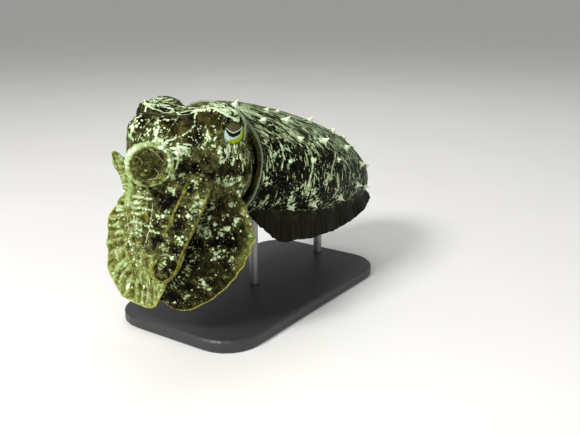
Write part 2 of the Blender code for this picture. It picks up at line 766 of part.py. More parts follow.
def build_papilla(place, normal, lean, radius, height):
    """A pointed wart of skin with a broad foot."""
    first = unit(np.cross(normal, [0.27, 0.61, 0.74]))
    second = np.cross(normal, first)
    rings = [[place - normal * 0.0022]]
    for reach, rise in ((1.0, -0.0020), (0.88, 0.0004), (0.40, 0.42)):
        level = rise if rise < 0.01 else rise * height
        rings.append([
            place + normal * level + lean * max(level, 0.0) + radius * reach
            * (first * math.cos(turn) + second * math.sin(turn))
            for turn in (2 * math.pi * k / PAPILLA_SIDES for k in range(PAPILLA_SIDES))
        ])
    rings.append([place + (normal + lean) * height])
    return ring_solid("papilla", rings, "mantle_skin")


# Each row: degrees above the fin's root or from the side, radius, height and distances behind the rim
FIN_ROW = (15, 0.0042, 0.0085, (0.050, 0.076, 0.102, 0.128, 0.152, 0.176, 0.198))
MANTLE_ROWS_OF_PAPILLAE = [
    (22, 0.0028, 0.0045, (0.064, 0.092, 0.120, 0.148)),
    (50, 0.0042, 0.0085, (0.030, 0.062, 0.094, 0.126, 0.156, 0.182, 0.205)),
    (76, 0.0036, 0.0070, (0.044, 0.080, 0.112, 0.144, 0.174, 0.198)),
]


def papilla_sites():
    """Distance behind the rim, angle, radius and height of every papilla on the mantle's left."""
    above, radius, height, places = FIN_ROW
    sites = [(v, fin_root_angle(v) + math.radians(above), radius, height) for v in places]
    for degrees, radius, height, places in MANTLE_ROWS_OF_PAPILLAE:
        sites += [(v, math.radians(degrees), radius, height) for v in places]
    return sites


def add_mantle_papillae(mantle):
    """Rows of papillae along the mantle, the largest over the fins and beside the back."""
    made = []
    for v, left, radius, height in papilla_sites():
        shrink = 1 - 0.35 * abs(v / MANTLE_LENGTH - 0.6)
        for angle in (left, math.pi - left):
            made.append(build_papilla(mantle_point(v, angle), mantle_normal(v, angle),
                                      BODY_AXIS * PAPILLA_LEAN, radius * shrink, height * shrink))
    fuse(mantle, made)


def add_brow_papillae(head):
    """A pointed papilla over each eye and a smaller one behind it."""
    made = []
    for hand in (1, -1):
        for x, y, radius, height in ((0.033, 0.009, 0.0040, 0.0080), (0.024, 0.016, 0.0026, 0.0045)):
            direction = unit(np.array([hand * x, y, 0.014]) - HEAD_CENTRE)
            place = head_surface(direction[None])[0]
            normal = unit(np.array([hand * 0.25, 0.1, 1.0]))
            made.append(build_papilla(place, normal, np.zeros(3), radius, height))
    fuse(head, made)


# Stand

def build_stand(mantle):
    """A flat base with rounded corners and two rods up to the belly."""
    corner = []
    for cx, cy, start in ((1, 1, 0), (-1, 1, 90), (-1, -1, 180), (1, -1, 270)):
        for k in range(7):
            turn = math.radians(start + 15 * k)
            corner.append((cx * (BASE_WIDTH / 2 - BASE_CORNER) + BASE_CORNER * math.cos(turn),
                           cy * (BASE_LENGTH / 2 - BASE_CORNER) + BASE_CORNER * math.sin(turn)))
    low = [(x, y, 0.0) for x, y in corner]
    high = [(x, y, BASE_THICK) for x, y in corner]
    count = len(corner)
    faces = [tuple(range(count)), tuple(range(count, 2 * count))]
    faces += [(k, (k + 1) % count, (k + 1) % count + count, k + count) for k in range(count)]
    base = add_object("stand_base", low + high, faces, "stand", organic=False)
    bevel = base.modifiers.new("edge", "BEVEL")
    bevel.width = BASE_BEVEL
    bevel.segments = 1
    bevel.limit_method = "ANGLE"
    apply_modifiers(base)
    rods = []
    for name, v in ROD_STATIONS.items():
        belly = mantle_point(v, math.radians(-90)) + [0, -EYES_AHEAD, EYES_ABOVE_FLOOR]
        low, high = BASE_THICK + GAP, belly[2] + 0.012
        circle = [(ROD_RADIUS * math.cos(2 * math.pi * k / ROD_SIDES),
                   belly[1] + ROD_RADIUS * math.sin(2 * math.pi * k / ROD_SIDES)) for k in range(ROD_SIDES)]
        rings = [[(0, belly[1], low)], *[[(x, y, z) for x, y in circle] for z in (low, high)],
                 [(0, belly[1], high)]]
        rod = ring_solid(name, rings, "stand")
        rod.data.transform(Matrix.Translation((0, EYES_AHEAD, -EYES_ABOVE_FLOOR)))
        cut_clear(rod, [mantle])
        rods.append(rod)
    return rods


def main():
    for obj in list(bpy.data.objects):
        bpy.data.objects.remove(obj)
    mantle = build_mantle()
    add_mantle_papillae(mantle)
    fins = build_fins(mantle)
    head = build_head(mantle)
    funnel = build_funnel([head, mantle])
    eyes = [build_eye(1, "left"), build_eye(-1, "right")]
    cut_clear(head, eyes)
    lips, beak = build_mouth(head)
    arms = build_arms([head, mantle, funnel, lips, beak, *eyes])
    rods = build_stand(mantle)
    carrier = bpy.data.objects.new("animal", None)
    bpy.context.scene.collection.objects.link(carrier)
    carrier.location = (0, -EYES_AHEAD, EYES_ABOVE_FLOOR)
    for obj in [mantle, *fins, head, funnel, *eyes, lips, beak, *arms, *rods]:
        centre_origin(obj)
        obj.parent = carrier


main()
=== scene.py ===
import math
from collections import namedtuple
from contextlib import contextmanager
from functools import reduce

import bmesh
import bpy
import numpy as np
from mathutils import Matrix, Vector, kdtree
from mathutils.bvhtree import BVHTree


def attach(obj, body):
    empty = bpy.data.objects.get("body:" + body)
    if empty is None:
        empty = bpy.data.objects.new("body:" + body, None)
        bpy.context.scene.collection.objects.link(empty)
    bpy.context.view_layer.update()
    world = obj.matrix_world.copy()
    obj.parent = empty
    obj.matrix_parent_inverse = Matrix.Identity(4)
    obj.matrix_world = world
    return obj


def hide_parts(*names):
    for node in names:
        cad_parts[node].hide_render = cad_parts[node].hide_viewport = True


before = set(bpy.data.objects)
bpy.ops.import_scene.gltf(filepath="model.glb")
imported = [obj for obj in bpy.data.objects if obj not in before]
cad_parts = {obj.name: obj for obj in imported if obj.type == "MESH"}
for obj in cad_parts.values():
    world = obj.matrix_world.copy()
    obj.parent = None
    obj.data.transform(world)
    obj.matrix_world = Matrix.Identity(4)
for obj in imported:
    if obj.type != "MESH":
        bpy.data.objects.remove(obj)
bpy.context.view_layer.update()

# Lengths are in metres. The animal is laid out round the point midway between its eyes:
# +X is its own left, -Y its front and +Z up. EYES carries that layout to the row frame.
EYES = np.array([0.0, -0.078, 0.162])

# Camera: its place in the animal's layout, its heading and its field of view
CAMERA_PLACE = np.array([0.38220, -0.42448, 0.10072])
CAMERA_AZIMUTH = math.radians(34.563)
CAMERA_LOOKS_DOWN = math.radians(16.975)
SENSOR = 36.0
PHOTO_WIDTH, PHOTO_HEIGHT = 580, 435
FOCAL_PIXELS = 757.0
PIXELS_IN_METRE = 1380.0

# Fineness of the curves through knots, and size of the table that noise is made from
STEPS_BETWEEN_KNOTS = 24
NOISE_CELLS = 32

# Skin: its cells, the rounds of smoothing, and the gaps left round the eyeballs by it and by their sockets
VOXEL = 0.00085
SMOOTH_ROUNDS = 5
SKIN_GAP = 0.0002
SOCKET_GAP = 0.0004

# Mantle: distance from the rim, half width, height above its axis, depth below it
MANTLE_LENGTH = 0.226
MANTLE_PITCH = math.radians(16)
RIM_CENTRE = np.array([0.0, 0.0230, -0.0310])
MANTLE_STATIONS = [
    (0.000, 0.0480, 0.0452, 0.0433),
    (0.028, 0.0562, 0.0502, 0.0439),
    (0.064, 0.0630, 0.0512, 0.0423),
    (0.101, 0.0618, 0.0496, 0.0393),
    (0.138, 0.0535, 0.0462, 0.0352),
    (0.174, 0.0435, 0.0390, 0.0283),
    (0.202, 0.0330, 0.0288, 0.0200),
    (0.217, 0.0225, 0.0188, 0.0127),
    (0.2245, 0.0105, 0.0085, 0.0060),
]
MANTLE_ROWS = 150
MANTLE_SIDES = 220
NUCHAL_LOBE = 0.016
BELLY_NOTCH = 0.010
RIM_FADE = 0.060
MANTLE_ROUNDNESS = 0.92
# Bowl behind the rim, from its edge inwards: how far in from the mantle's outline, and how far behind the rim
BOWL = [(0.0005, 0.0001), (0.0016, 0.0000), (0.0035, 0.0009), (0.0060, 0.0017), (0.0074, 0.0040),
        (0.0085, 0.0090), (0.0115, 0.0150), (0.0180, 0.0180), (0.0300, 0.0210)]
BOWL_FLOOR = 0.022

# Fins: distances behind the rim, widths, and the waves of their margin
FIN_START = 0.010
FIN_END = 0.2240
FIN_WIDTH = 0.0255
FIN_NARROWING = 0.70
FIN_OPENS_OVER, FIN_CLOSES_OVER, FIN_LAST = 0.16, 0.05, 0.45
FIN_SUNK = 0.004
FIN_ROOT_ANGLE = math.radians(-46)
FIN_DROOP = math.radians(20)
FIN_SAG = 0.006
FIN_WAVE, FIN_WAVES = 0.0018, 5.5
FIN_FLUTE, FIN_FLUTES = 0.0005, 31
FIN_THICK = (0.0036, 0.0017)
FIN_ROWS = 260
FIN_COLUMNS = 26

# Eyes and head
EYE_SIDE = 0.0362
EYE_FORWARD = 0.0030
EYE_RADIUS = 0.0125
EYE_GAZE = np.array([0.93, -0.36, 0.05])
LID_RADIUS = 0.0128
LID_THICK = 0.0026
LID_AHEAD = 0.0035
LID_SHELL = 0.0138
LID_OPENING = 0.0095
HEAD_CENTRE = np.array([0.0, -0.004, -0.006])
HEAD_BLEND = 0.004
HEAD_DIRECTIONS = (170, 260)

# Funnel and lips: corners of their middle lines, and radii evenly spaced along them
FUNNEL_LINE = [(0, 0.040, -0.062), (0, 0.022, -0.069), (0, 0.004, -0.073), (0, -0.008, -0.072)]
FUNNEL_RADII = (0.0175, 0.0170, 0.0155, 0.0135, 0.0115, 0.0098, 0.0088)
FUNNEL_ROWS, BORE_ROWS = 25, 8
FUNNEL_BORE = (0.0052, 0.0074)
FUNNEL_FLAT = 0.62
LIP_LINE = [(0, -0.024, -0.052), (0, -0.025, -0.066), (0, -0.0255, -0.072), (0, -0.0258, -0.0745)]
LIP_RADII = (0.0125, 0.0120, 0.0095, 0.0066)
LIP_PIT = [(0, -0.0255, -0.0690), (0, -0.0255, -0.0705)]
LIP_PIT_RADII = (0.0046, 0.0052)
LIP_PIT_FLOOR = (0, -0.0255, -0.0680)
TUBE_SIDES = 60

# Arms: their margins' thickness and beading, the rounded share at the tip, the least share of their full
# width, where the leaf at an end lies, and the keel that makes an arm a broad one
MEMBRANE = 0.0017
BEADING_WIDTH, BEADING_HEIGHT = 0.0016, 0.0004
TIP_SHARE = 0.10
LEAST_WIDTH = 0.12
LEAF_AT, LEAF_SPREAD = 0.87, 0.06
BROAD_KEEL = 0.01
ARM_LINE_ROWS = 400
ARM_ROWS = 130
ARM_COLUMNS = 37
# Waves of a broad arm's margins: two up and down, one in its own plane; height and turns in radians
BROAD_WAVES = [(0.0020, 21), (0.0007, 57)]
BROAD_SCALLOPS = (0.0012, 75)


def unit(vectors):
    """The vectors at length one."""
    vectors = np.asarray(vectors, float)
    return vectors / np.maximum(np.linalg.norm(vectors, axis=-1, keepdims=True), 1e-12)


def step(low, high, value):
    """0 below low, 1 above high and a smooth rise between them."""
    share = np.clip((value - low) / (high - low), 0, 1)
    return share * share * (3 - 2 * share)


def lumps(points, size, seed, octaves=1):
    """Smooth noise between about -1 and 1, whose lumps have this size."""
    table = np.random.default_rng(seed).uniform(-1, 1, (NOISE_CELLS,) * 3)
    total = np.zeros(len(points))
    weight = 1.0
    for _ in range(octaves):
        place = points / size + 100.0
        cell = np.floor(place).astype(int)
        rest = place - cell
        rest = rest * rest * (3 - 2 * rest)
        for corner in np.ndindex(2, 2, 2):
            share = np.prod(np.where(corner, rest, 1 - rest), axis=1)
            index = (cell + corner) % NOISE_CELLS
            total += weight * share * table[index[:, 0], index[:, 1], index[:, 2]]
        weight *= 0.5
        size *= 0.5
    return total


def spread(values, count):
    """count numbers, evenly spaced through these values."""
    return np.interp(np.linspace(0, 1, count), np.linspace(0, 1, len(values)), values)


def circle(count):
    """Turns evenly spaced round a circle."""
    return np.linspace(0, 2 * math.pi, count, endpoint=False)


def smooth_path(knots, count):
    """count rows, evenly spaced by length, on a Catmull-Rom curve through the knots."""
    k = np.asarray(knots, float)
    ends = np.vstack([2 * k[0] - k[1], k, 2 * k[-1] - k[-2]])
    t = np.linspace(0, 1, STEPS_BETWEEN_KNOTS, endpoint=False)[:, None]
    rows = [
        0.5 * (2 * b + (c - a) * t + (2 * a - 5 * b + 4 * c - d) * t**2 + (3 * b - a - 3 * c + d) * t**3)
        for a, b, c, d in zip(ends, ends[1:], ends[2:], ends[3:])
    ]
    rows = np.vstack([*rows, k[-1:]])
    steps = np.linalg.norm(np.diff(rows[:, :3], axis=0), axis=1)
    length = np.r_[0, np.cumsum(steps)]
    at = np.linspace(0, length[-1], count)
    return np.column_stack([np.interp(at, length, column) for column in rows.T])


# Rough forms, which the skin is drawn over

class Forms:
    """Closed surfaces that overlap; each corner knows its part, share of length and place across."""

    def __init__(self):
        self.points, self.faces, self.notes, self.parts = [], [], [], []
        self.count = 0

    def add(self, part, points, triangles, along=0.0, across=0.0, outer=0.0):
        """Adds one closed surface of a part."""
        points = np.asarray(points, float).reshape(-1, 3)
        notes = [np.broadcast_to(np.asarray(values, float), len(points)) for values in (along, across, outer)]
        self.points.append(points)
        self.notes.append(np.column_stack(notes))
        self.faces.append(np.asarray(triangles) + self.count)
        self.parts.append(np.full(len(triangles), part))
        self.count += len(points)

    def tables(self):
        """All points, triangles, notes and part numbers."""
        return (np.vstack(self.points), np.vstack(self.faces), np.vstack(self.notes),
                np.concatenate(self.parts))


MANTLE, FIN, HEAD, FUNNEL, ARM = 0, 1, 2, 3, 4


def tube_triangles(rings, sides):
    """The triangles of rings joined in turn, with both ends closed by a fan on one more point each."""
    faces = []
    j = np.arange(sides)
    k = (j + 1) % sides
    for r in range(rings - 1):
        a, b = r * sides, (r + 1) * sides
        faces.append(np.column_stack([a + j, b + j, b + k]))
        faces.append(np.column_stack([a + j, b + k, a + k]))
    first, last = rings * sides, rings * sides + 1
    faces.append(np.column_stack([np.full(sides, first), j, k]))
    end = (rings - 1) * sides
    faces.append(np.column_stack([end + j, np.full(sides, last), end + k]))
    return np.vstack(faces)


def sheet_triangles(rows, columns):
    """The triangles of a closed vane: an upper and a lower grid joined round their edges."""
    under = rows * columns
    i, j = np.meshgrid(np.arange(rows - 1), np.arange(columns - 1), indexing="ij")
    a = (i * columns + j).ravel()
    b, c, d = a + columns, a + columns + 1, a + 1
    faces = [np.column_stack([a, b, c]), np.column_stack([a, c, d])]
    faces += [np.column_stack([a, c, b]) + under, np.column_stack([a, d, c]) + under]
    for column in (0, columns - 1):
        a = np.arange(rows - 1) * columns + column
        faces += [np.column_stack([a, a + columns, a + columns + under]),
                  np.column_stack([a, a + columns + under, a + under])]
    for row in (0, rows - 1):
        a = row * columns + np.arange(columns - 1)
        faces += [np.column_stack([a, a + 1, a + 1 + under]), np.column_stack([a, a + 1 + under, a + under])]
    return np.vstack(faces)


MANTLE_TABLE = smooth_path(MANTLE_STATIONS, 300)
BODY_AXIS = np.array([0.0, math.cos(MANTLE_PITCH), -math.sin(MANTLE_PITCH)])
BODY_UP = np.array([0.0, math.sin(MANTLE_PITCH), math.cos(MANTLE_PITCH)])


def mantle_sizes(v):
    """Half width, height and depth of the mantle at distance v behind its rim."""
    return [np.interp(v, MANTLE_TABLE[:, 0], MANTLE_TABLE[:, c]) for c in (1, 2, 3)]


def rim_lobe(sine):
    """How far the rim reaches ahead at the back and falls back at the belly; sine is that of the angle."""
    return NUCHAL_LOBE * np.maximum(0, sine) ** 2 - BELLY_NOTCH * np.maximum(0, -sine) ** 2


def mantle_points(v, angle, inset=0.0):
    """Points of the mantle's surface: angle 0 is its left side, a quarter turn its back."""
    v, angle, inset = np.broadcast_arrays(np.asarray(v, float), angle, inset)
    half_width, height, depth = mantle_sizes(v)
    sine, cosine = np.sin(angle), np.cos(angle)
    up = np.where(sine > 0, height, depth)
    across = (half_width - inset) * np.sign(cosine) * np.abs(cosine) ** MANTLE_ROUNDNESS
    rise = (up - inset) * np.sign(sine) * np.abs(sine) ** MANTLE_ROUNDNESS
    along = v - rim_lobe(sine) * np.maximum(0.0, 1 - v / RIM_FADE) ** 2
    side = np.array([1.0, 0.0, 0.0])
    return RIM_CENTRE + along[..., None] * BODY_AXIS + rise[..., None] * BODY_UP + across[..., None] * side


def mantle_normals(v, angle):
    """Outward normals of the mantle's surface."""
    reach, turn = 1e-3, 0.02
    along = mantle_points(v + reach, angle) - mantle_points(v - reach, angle)
    around = mantle_points(v, angle + turn) - mantle_points(v, angle - turn)
    normal = unit(np.cross(around, along))
    outward = mantle_points(v, angle) - RIM_CENTRE - np.asarray(v, float)[..., None] * BODY_AXIS
    return normal * np.sign(np.sum(normal * outward, axis=-1, keepdims=True))


def add_mantle(forms):
    """The mantle, with the deep bowl behind its thin rim that the neck goes into."""
    angles = circle(MANTLE_SIDES)
    last = MANTLE_STATIONS[-1][0]
    along = last * (1 - (1 - np.linspace(0, 1, MANTLE_ROWS)) ** 1.15)
    rings = [mantle_points(0.0, angles, inset) + BODY_AXIS * depth for inset, depth in reversed(BOWL)]
    rings += [mantle_points(v, angles) for v in along]
    ends = [RIM_CENTRE + BODY_AXIS * BOWL_FLOOR, RIM_CENTRE + BODY_AXIS * MANTLE_LENGTH]
    points = np.vstack([*rings, ends])
    forms.add(MANTLE, points, tube_triangles(len(rings), MANTLE_SIDES))


def fin_root_angle(v):
    """Where the left fin leaves the mantle, at distance v behind the rim."""
    share = (v - FIN_START) / (FIN_END - FIN_START)
    return FIN_ROOT_ANGLE * (1 - 0.55 * share**2)


def add_fins(forms):
    """Both fins, with their roots sunk in the mantle."""
    shares = np.linspace(0, 1, FIN_ROWS)
    reach = np.linspace(0, 1, FIN_COLUMNS)
    v = FIN_START + (FIN_END - FIN_START) * shares
    angle = fin_root_angle(v)
    root = mantle_points(v, angle)
    normal = mantle_normals(v, angle)
    droop = (FIN_DROOP * (1 - shares))[:, None]
    out = unit(normal * np.cos(droop) - BODY_UP * np.sin(droop))
    face = unit(np.cross(BODY_AXIS, out))
    face *= np.sign(face @ BODY_UP)[:, None]
    rise = np.minimum(1.0, shares / FIN_OPENS_OVER) ** 0.6
    rise = rise * np.minimum(1.0, (1 - shares) / FIN_CLOSES_OVER + FIN_LAST)
    ripple = 1 + 0.02 * np.sin(shares * 61) * np.sin(shares * 23)
    width = FIN_WIDTH * rise * (1 - FIN_NARROWING * shares**1.5) * ripple
    e = reach[None, :]
    span = -FIN_SUNK + (width[:, None] + FIN_SUNK) * e
    wave = FIN_WAVE * np.sin(2 * math.pi * FIN_WAVES * shares)[:, None] * e**1.5 * rise[:, None]
    flutes = FIN_FLUTE * np.sin(2 * math.pi * FIN_FLUTES * shares + 2)[:, None] * e**2
    sag = -FIN_SAG * e**2 * (1 - 0.5 * shares)[:, None]
    thick = FIN_THICK[0] + (FIN_THICK[1] - FIN_THICK[0]) * e**0.7
    middle = root[:, None] + out[:, None] * span[..., None] + face[:, None] * (wave + sag + flutes)[..., None]
    half = face[:, None] * (thick / 2)[..., None]
    for hand in (1, -1):
        points = np.concatenate([(middle + half).reshape(-1, 3), (middle - half).reshape(-1, 3)])
        along = np.tile(np.repeat(shares, len(reach)), 2)
        across = np.tile(reach, 2 * len(shares))
        forms.add(FIN, points * [hand, 1, 1], sheet_triangles(len(shares), len(reach)), along, across)


def pair(centre, radii):
    """An ellipsoid and its mirror image."""
    return [(np.array(centre) * [side, 1, 1], np.array(radii)) for side in (1, -1)]


# The head's ellipsoids: centre and half sizes
HEAD_FORMS = [
    (np.array([0.0, 0.000, -0.024]), np.array([0.0360, 0.034, 0.038])),
    (np.array([0.0, 0.028, -0.026]), np.array([0.0350, 0.026, 0.034])),
    (np.array([0.0, -0.022, -0.026]), np.array([0.0310, 0.027, 0.034])),
    *pair((0.0290, -0.001, -0.004), (0.0160, 0.0160, 0.0165)),
    *pair((0.0270, -0.003, 0.011), (0.0110, 0.0170, 0.0088)),
    (np.array([0.0255, -0.0455, -0.0180]), np.array([0.0070, 0.0120, 0.0130])),
    *pair((0.0106, -0.0360, -0.003), (0.0090, 0.0150, 0.0150)),
    *pair((0.0198, -0.031, -0.019), (0.0100, 0.0135, 0.0240)),
    *pair((0.0330, -0.018, -0.032), (0.0095, 0.0135, 0.0230)),
    *pair((0.0270, 0.000, -0.042), (0.0130, 0.0150, 0.0180)),
    *pair((0.0360, 0.001, -0.030), (0.0160, 0.0140, 0.0200)),
]


def eye_frame(hand):
    """Centre of an eyeball, its line of sight, and its rearward and upward directions."""
    gaze = unit(EYE_GAZE * [hand, 1, 1])
    rear = unit(np.cross([0, 0, 1], gaze)) * hand
    up = np.cross(gaze, rear) * hand
    return np.array([hand * EYE_SIDE, -EYE_FORWARD, 0.0]), gaze, rear, up


def ellipsoid_distance(points, centre, radii):
    """Distance to an ellipsoid, near enough close to its surface."""
    offset = points - centre
    inner = np.linalg.norm(offset / radii, axis=-1)
    outer = np.maximum(np.linalg.norm(offset / radii**2, axis=-1), 1e-9)
    return inner * (inner - 1) / outer


def lid_distance(points, hand):
    """Distance to an eye's ring of skin and to the lids over the eyeball, open in the middle."""
    centre, gaze, _, up = eye_frame(hand)
    offset = points - centre
    ring = offset - gaze * LID_AHEAD
    ahead = ring @ gaze
    across = ring - ahead[..., None] * gaze
    radial = np.linalg.norm(across, axis=-1)
    thick = LID_THICK * (1 + 0.45 * np.clip(across[..., 2] / LID_RADIUS, -0.3, 1))
    torus = np.sqrt(ahead**2 + (radial - LID_RADIUS) ** 2) - thick
    tilt = unit(gaze - 0.03 * up)
    lids = np.maximum(np.linalg.norm(offset, axis=-1) - LID_SHELL, offset @ tilt - LID_OPENING)
    soft = 0.0012
    return -soft * np.log(np.exp(-torus / soft) + np.exp(-lids / soft))


def head_distance(points):
    """Distance to the head's surface: its forms run smoothly into one another."""
    parts = [ellipsoid_distance(points, *form) for form in HEAD_FORMS]
    blend = -HEAD_BLEND * np.log(sum(np.exp(-part / HEAD_BLEND) for part in parts))
    lids = np.minimum(lid_distance(points, 1), lid_distance(points, -1))
    soft = 0.0016
    return -soft * np.log(np.exp(-blend / soft) + np.exp(-lids / soft))


def head_surface(directions):
    """Where rays from the head's centre meet its surface."""
    near = np.full(len(directions), 0.008)
    far = np.full(len(directions), 0.110)
    halvings = 22
    for _ in range(halvings):
        middle = (near + far) / 2
        inside = head_distance(HEAD_CENTRE + directions * middle[:, None]) < 0
        near = np.where(inside, middle, near)
        far = np.where(inside, far, middle)
    return HEAD_CENTRE + directions * near[:, None]


def head_form():
    """The head's surface, in rings round the line through both eyes."""
    rings, sides = HEAD_DIRECTIONS
    latitude = np.linspace(0, math.pi, rings + 2)[1:-1, None]
    turn = circle(sides)[None, :]
    directions = np.stack([np.cos(latitude) + 0 * turn, np.sin(latitude) * np.cos(turn),
                           np.sin(latitude) * np.sin(turn)], axis=-1).reshape(-1, 3)
    poles = np.array([[1.0, 0, 0], [-1.0, 0, 0]])
    return head_surface(np.vstack([directions, poles])), tube_triangles(rings, sides)


def tube_rings(path, radii, flat=1.0):
    """Rings round a path in the plane x = 0; flat is their height over their width."""
    path = np.array(path)
    along = unit(np.gradient(path, axis=0))
    turn = circle(TUBE_SIDES)[:, None]
    side = np.array([1.0, 0.0, 0.0])
    return [
        point + radius * (side * np.cos(turn) + unit(np.cross(way, side)) * flat * np.sin(turn))
        for point, way, radius in zip(path, along, radii)
    ]


def add_tube(forms, rings, first, last):
    """A closed surface through rings, with the middles of its two ends."""
    points = np.vstack([*rings, [first], [last]])
    forms.add(FUNNEL, points, tube_triangles(len(rings), len(rings[0])))


def add_funnel_and_lips(forms):
    """The siphon with its open mouth, and the ring of lips round the beak."""
    path = smooth_path(FUNNEL_LINE, FUNNEL_ROWS)
    mouth = path[-BORE_ROWS:]
    outer = tube_rings(path, spread(FUNNEL_RADII, FUNNEL_ROWS), FUNNEL_FLAT)
    bore = tube_rings(mouth, spread(FUNNEL_BORE, BORE_ROWS), FUNNEL_FLAT)
    add_tube(forms, [*outer, *reversed(bore)], path[0], mouth[0])
    path = smooth_path(LIP_LINE, 16)
    rings = tube_rings(path, spread(LIP_RADII, len(path)))
    pit = tube_rings(LIP_PIT, LIP_PIT_RADII)
    add_tube(forms, [*rings, *reversed(pit)], path[0], LIP_PIT_FLOOR)


# Arms

def coil_knots(root, centre, radius, last_radius, start, turns, sink, hand, facing):
    """An arm that leaves its root, goes over the top of a coil and winds inwards."""
    facing = unit(facing)
    ahead = unit(np.cross(facing, [0, 0, 1])) * hand
    up = unit(np.cross(ahead, facing)) * hand
    knots = [np.array(point) for point in root]
    for share in np.linspace(0, 1, int(11 * turns) + 1):
        turn = math.radians(start) + share * turns * 2 * math.pi
        reach = radius + (last_radius - radius) * share**1.6
        reach *= 1 + 0.16 * share * math.sin(turn * 1.7)
        place = np.array(centre) + (ahead * math.sin(turn) + up * math.cos(turn)) * reach
        knots.append(place - facing * sink * share**1.8)
    return knots


# Each arm: its side, the way its outer face looks at its root and at its tip, its line as knots or as a coil,
# its core's half width, its thickness, how far its inner and keel margins reach past the core, the thickness
# of its margins along it, the radius that it bends across with, the widening of its end, and the share of its
# length over which its margins widen
ARMS = {
    "arm_left_1": dict(
        hand=1, facing=((0.1, -0.5, 0.85), (0.1, -0.5, 0.85)),
        coil=dict(root=[(0.0190, -0.022, -0.024), (0.0215, -0.036, -0.028)],
                  centre=(0.0152, -0.0624, -0.0170), radius=0.0152, last_radius=0.0045, start=-95, turns=1.55,
                  sink=0.0110, facing=(0.80, -0.60, 0.10)),
        core=0.0090, thick=0.0042, inner=0.001, keel=0.001,
        edge=(0.0018, 0.0018, 0.0018, 0.0018, 0.0024, 0.0044, 0.0034, 0.0017, 0.0016, 0.0016, 0.0016)),
    "arm_right_1": dict(
        hand=-1, facing=((0.0, -1.0, 0.0), (0.15, -0.95, 0.1)),
        knots=[(-0.0120, -0.026, -0.024), (-0.0100, -0.044, -0.041), (-0.0075, -0.0589, -0.0515),
               (-0.0085, -0.0587, -0.0435), (-0.0092, -0.0593, -0.0354), (-0.0098, -0.0610, -0.0278),
               (-0.0102, -0.0633, -0.0209), (-0.0106, -0.0661, -0.0143), (-0.0110, -0.0699, -0.0083)],
        core=0.0056, thick=0.0040, inner=0.0008, keel=0.0008, edge=0.0017, leaf=0.0026),
    "arm_left_2": dict(
        hand=1, facing=((0.25, -0.93, 0.3), (0.15, -0.98, 0.0)),
        knots=[(0.021, -0.028, -0.014), (0.0265, -0.046, -0.027), (0.0235, -0.056, -0.045),
               (0.0195, -0.061, -0.061), (0.0138, -0.062, -0.073), (0.0092, -0.0615, -0.0826)],
        core=0.0080, thick=0.0085, inner=0.0080, keel=0.0022),
    "arm_left_3": dict(
        hand=1, facing=((0.42, -0.86, 0.3), (0.20, -0.98, 0.0)),
        knots=[(0.030, -0.016, -0.018), (0.038, -0.036, -0.029), (0.0394, -0.050, -0.046),
               (0.0356, -0.056, -0.061), (0.0310, -0.060, -0.0755), (0.0284, -0.061, -0.0861),
               (0.0240, -0.061, -0.0939), (0.0171, -0.060, -0.0965), (0.0134, -0.059, -0.093)],
        core=0.0084, thick=0.0085, inner=0.0055, keel=0.0030),
    "arm_left_4": dict(
        hand=1, facing=((0.6, -0.8, 0.0), (0.4, -0.92, 0.0)),
        knots=[(0.028, 0.000, -0.036), (0.0390, -0.016, -0.046), (0.0405, -0.028, -0.063),
               (0.0354, -0.036, -0.0825), (0.0273, -0.041, -0.101), (0.0143, -0.044, -0.1165),
               (0.0030, -0.046, -0.1245)],
        core=0.0085, thick=0.0085, inner=0.018, keel=0.0265, wrap=0.060),
    "arm_right_2": dict(
        hand=-1, facing=((-0.3, -0.9, 0.3), (0.0, -1.0, 0.0)),
        knots=[(-0.010, -0.034, -0.020), (-0.005, -0.050, -0.032), (0.0010, -0.0600, -0.049),
               (0.0020, -0.0615, -0.064), (0.0040, -0.0605, -0.0735), (0.0062, -0.0595, -0.0805)],
        core=0.0094, thick=0.0085, inner=0.0030, keel=0.0015),
    "arm_right_3": dict(
        hand=-1, facing=((-0.6, -0.8, 0.3), (-0.3, -0.95, 0.0)),
        knots=[(-0.030, -0.016, -0.020), (-0.029, -0.036, -0.044), (-0.0175, -0.0495, -0.060),
               (-0.0110, -0.0535, -0.0773), (0.0000, -0.054, -0.0935), (0.0075, -0.0525, -0.1060),
               (0.0115, -0.052, -0.1150)],
        core=0.0095, thick=0.0080, inner=0.0200, keel=0.0080, wrap=0.060),
    "arm_right_4": dict(
        hand=-1, facing=((-0.3, -0.95, 0.0), (-0.15, -1.0, 0.0)),
        knots=[(-0.028, 0.000, -0.038), (-0.0400, -0.016, -0.048), (-0.0410, -0.026, -0.064),
               (-0.0375, -0.034, -0.083), (-0.0300, -0.040, -0.1010), (-0.0125, -0.045, -0.1105),
               (0.0120, -0.0500, -0.1120)],
        core=0.0085, thick=0.0085, inner=0.025, keel=0.030, wrap=-0.200, full=0.52),
}


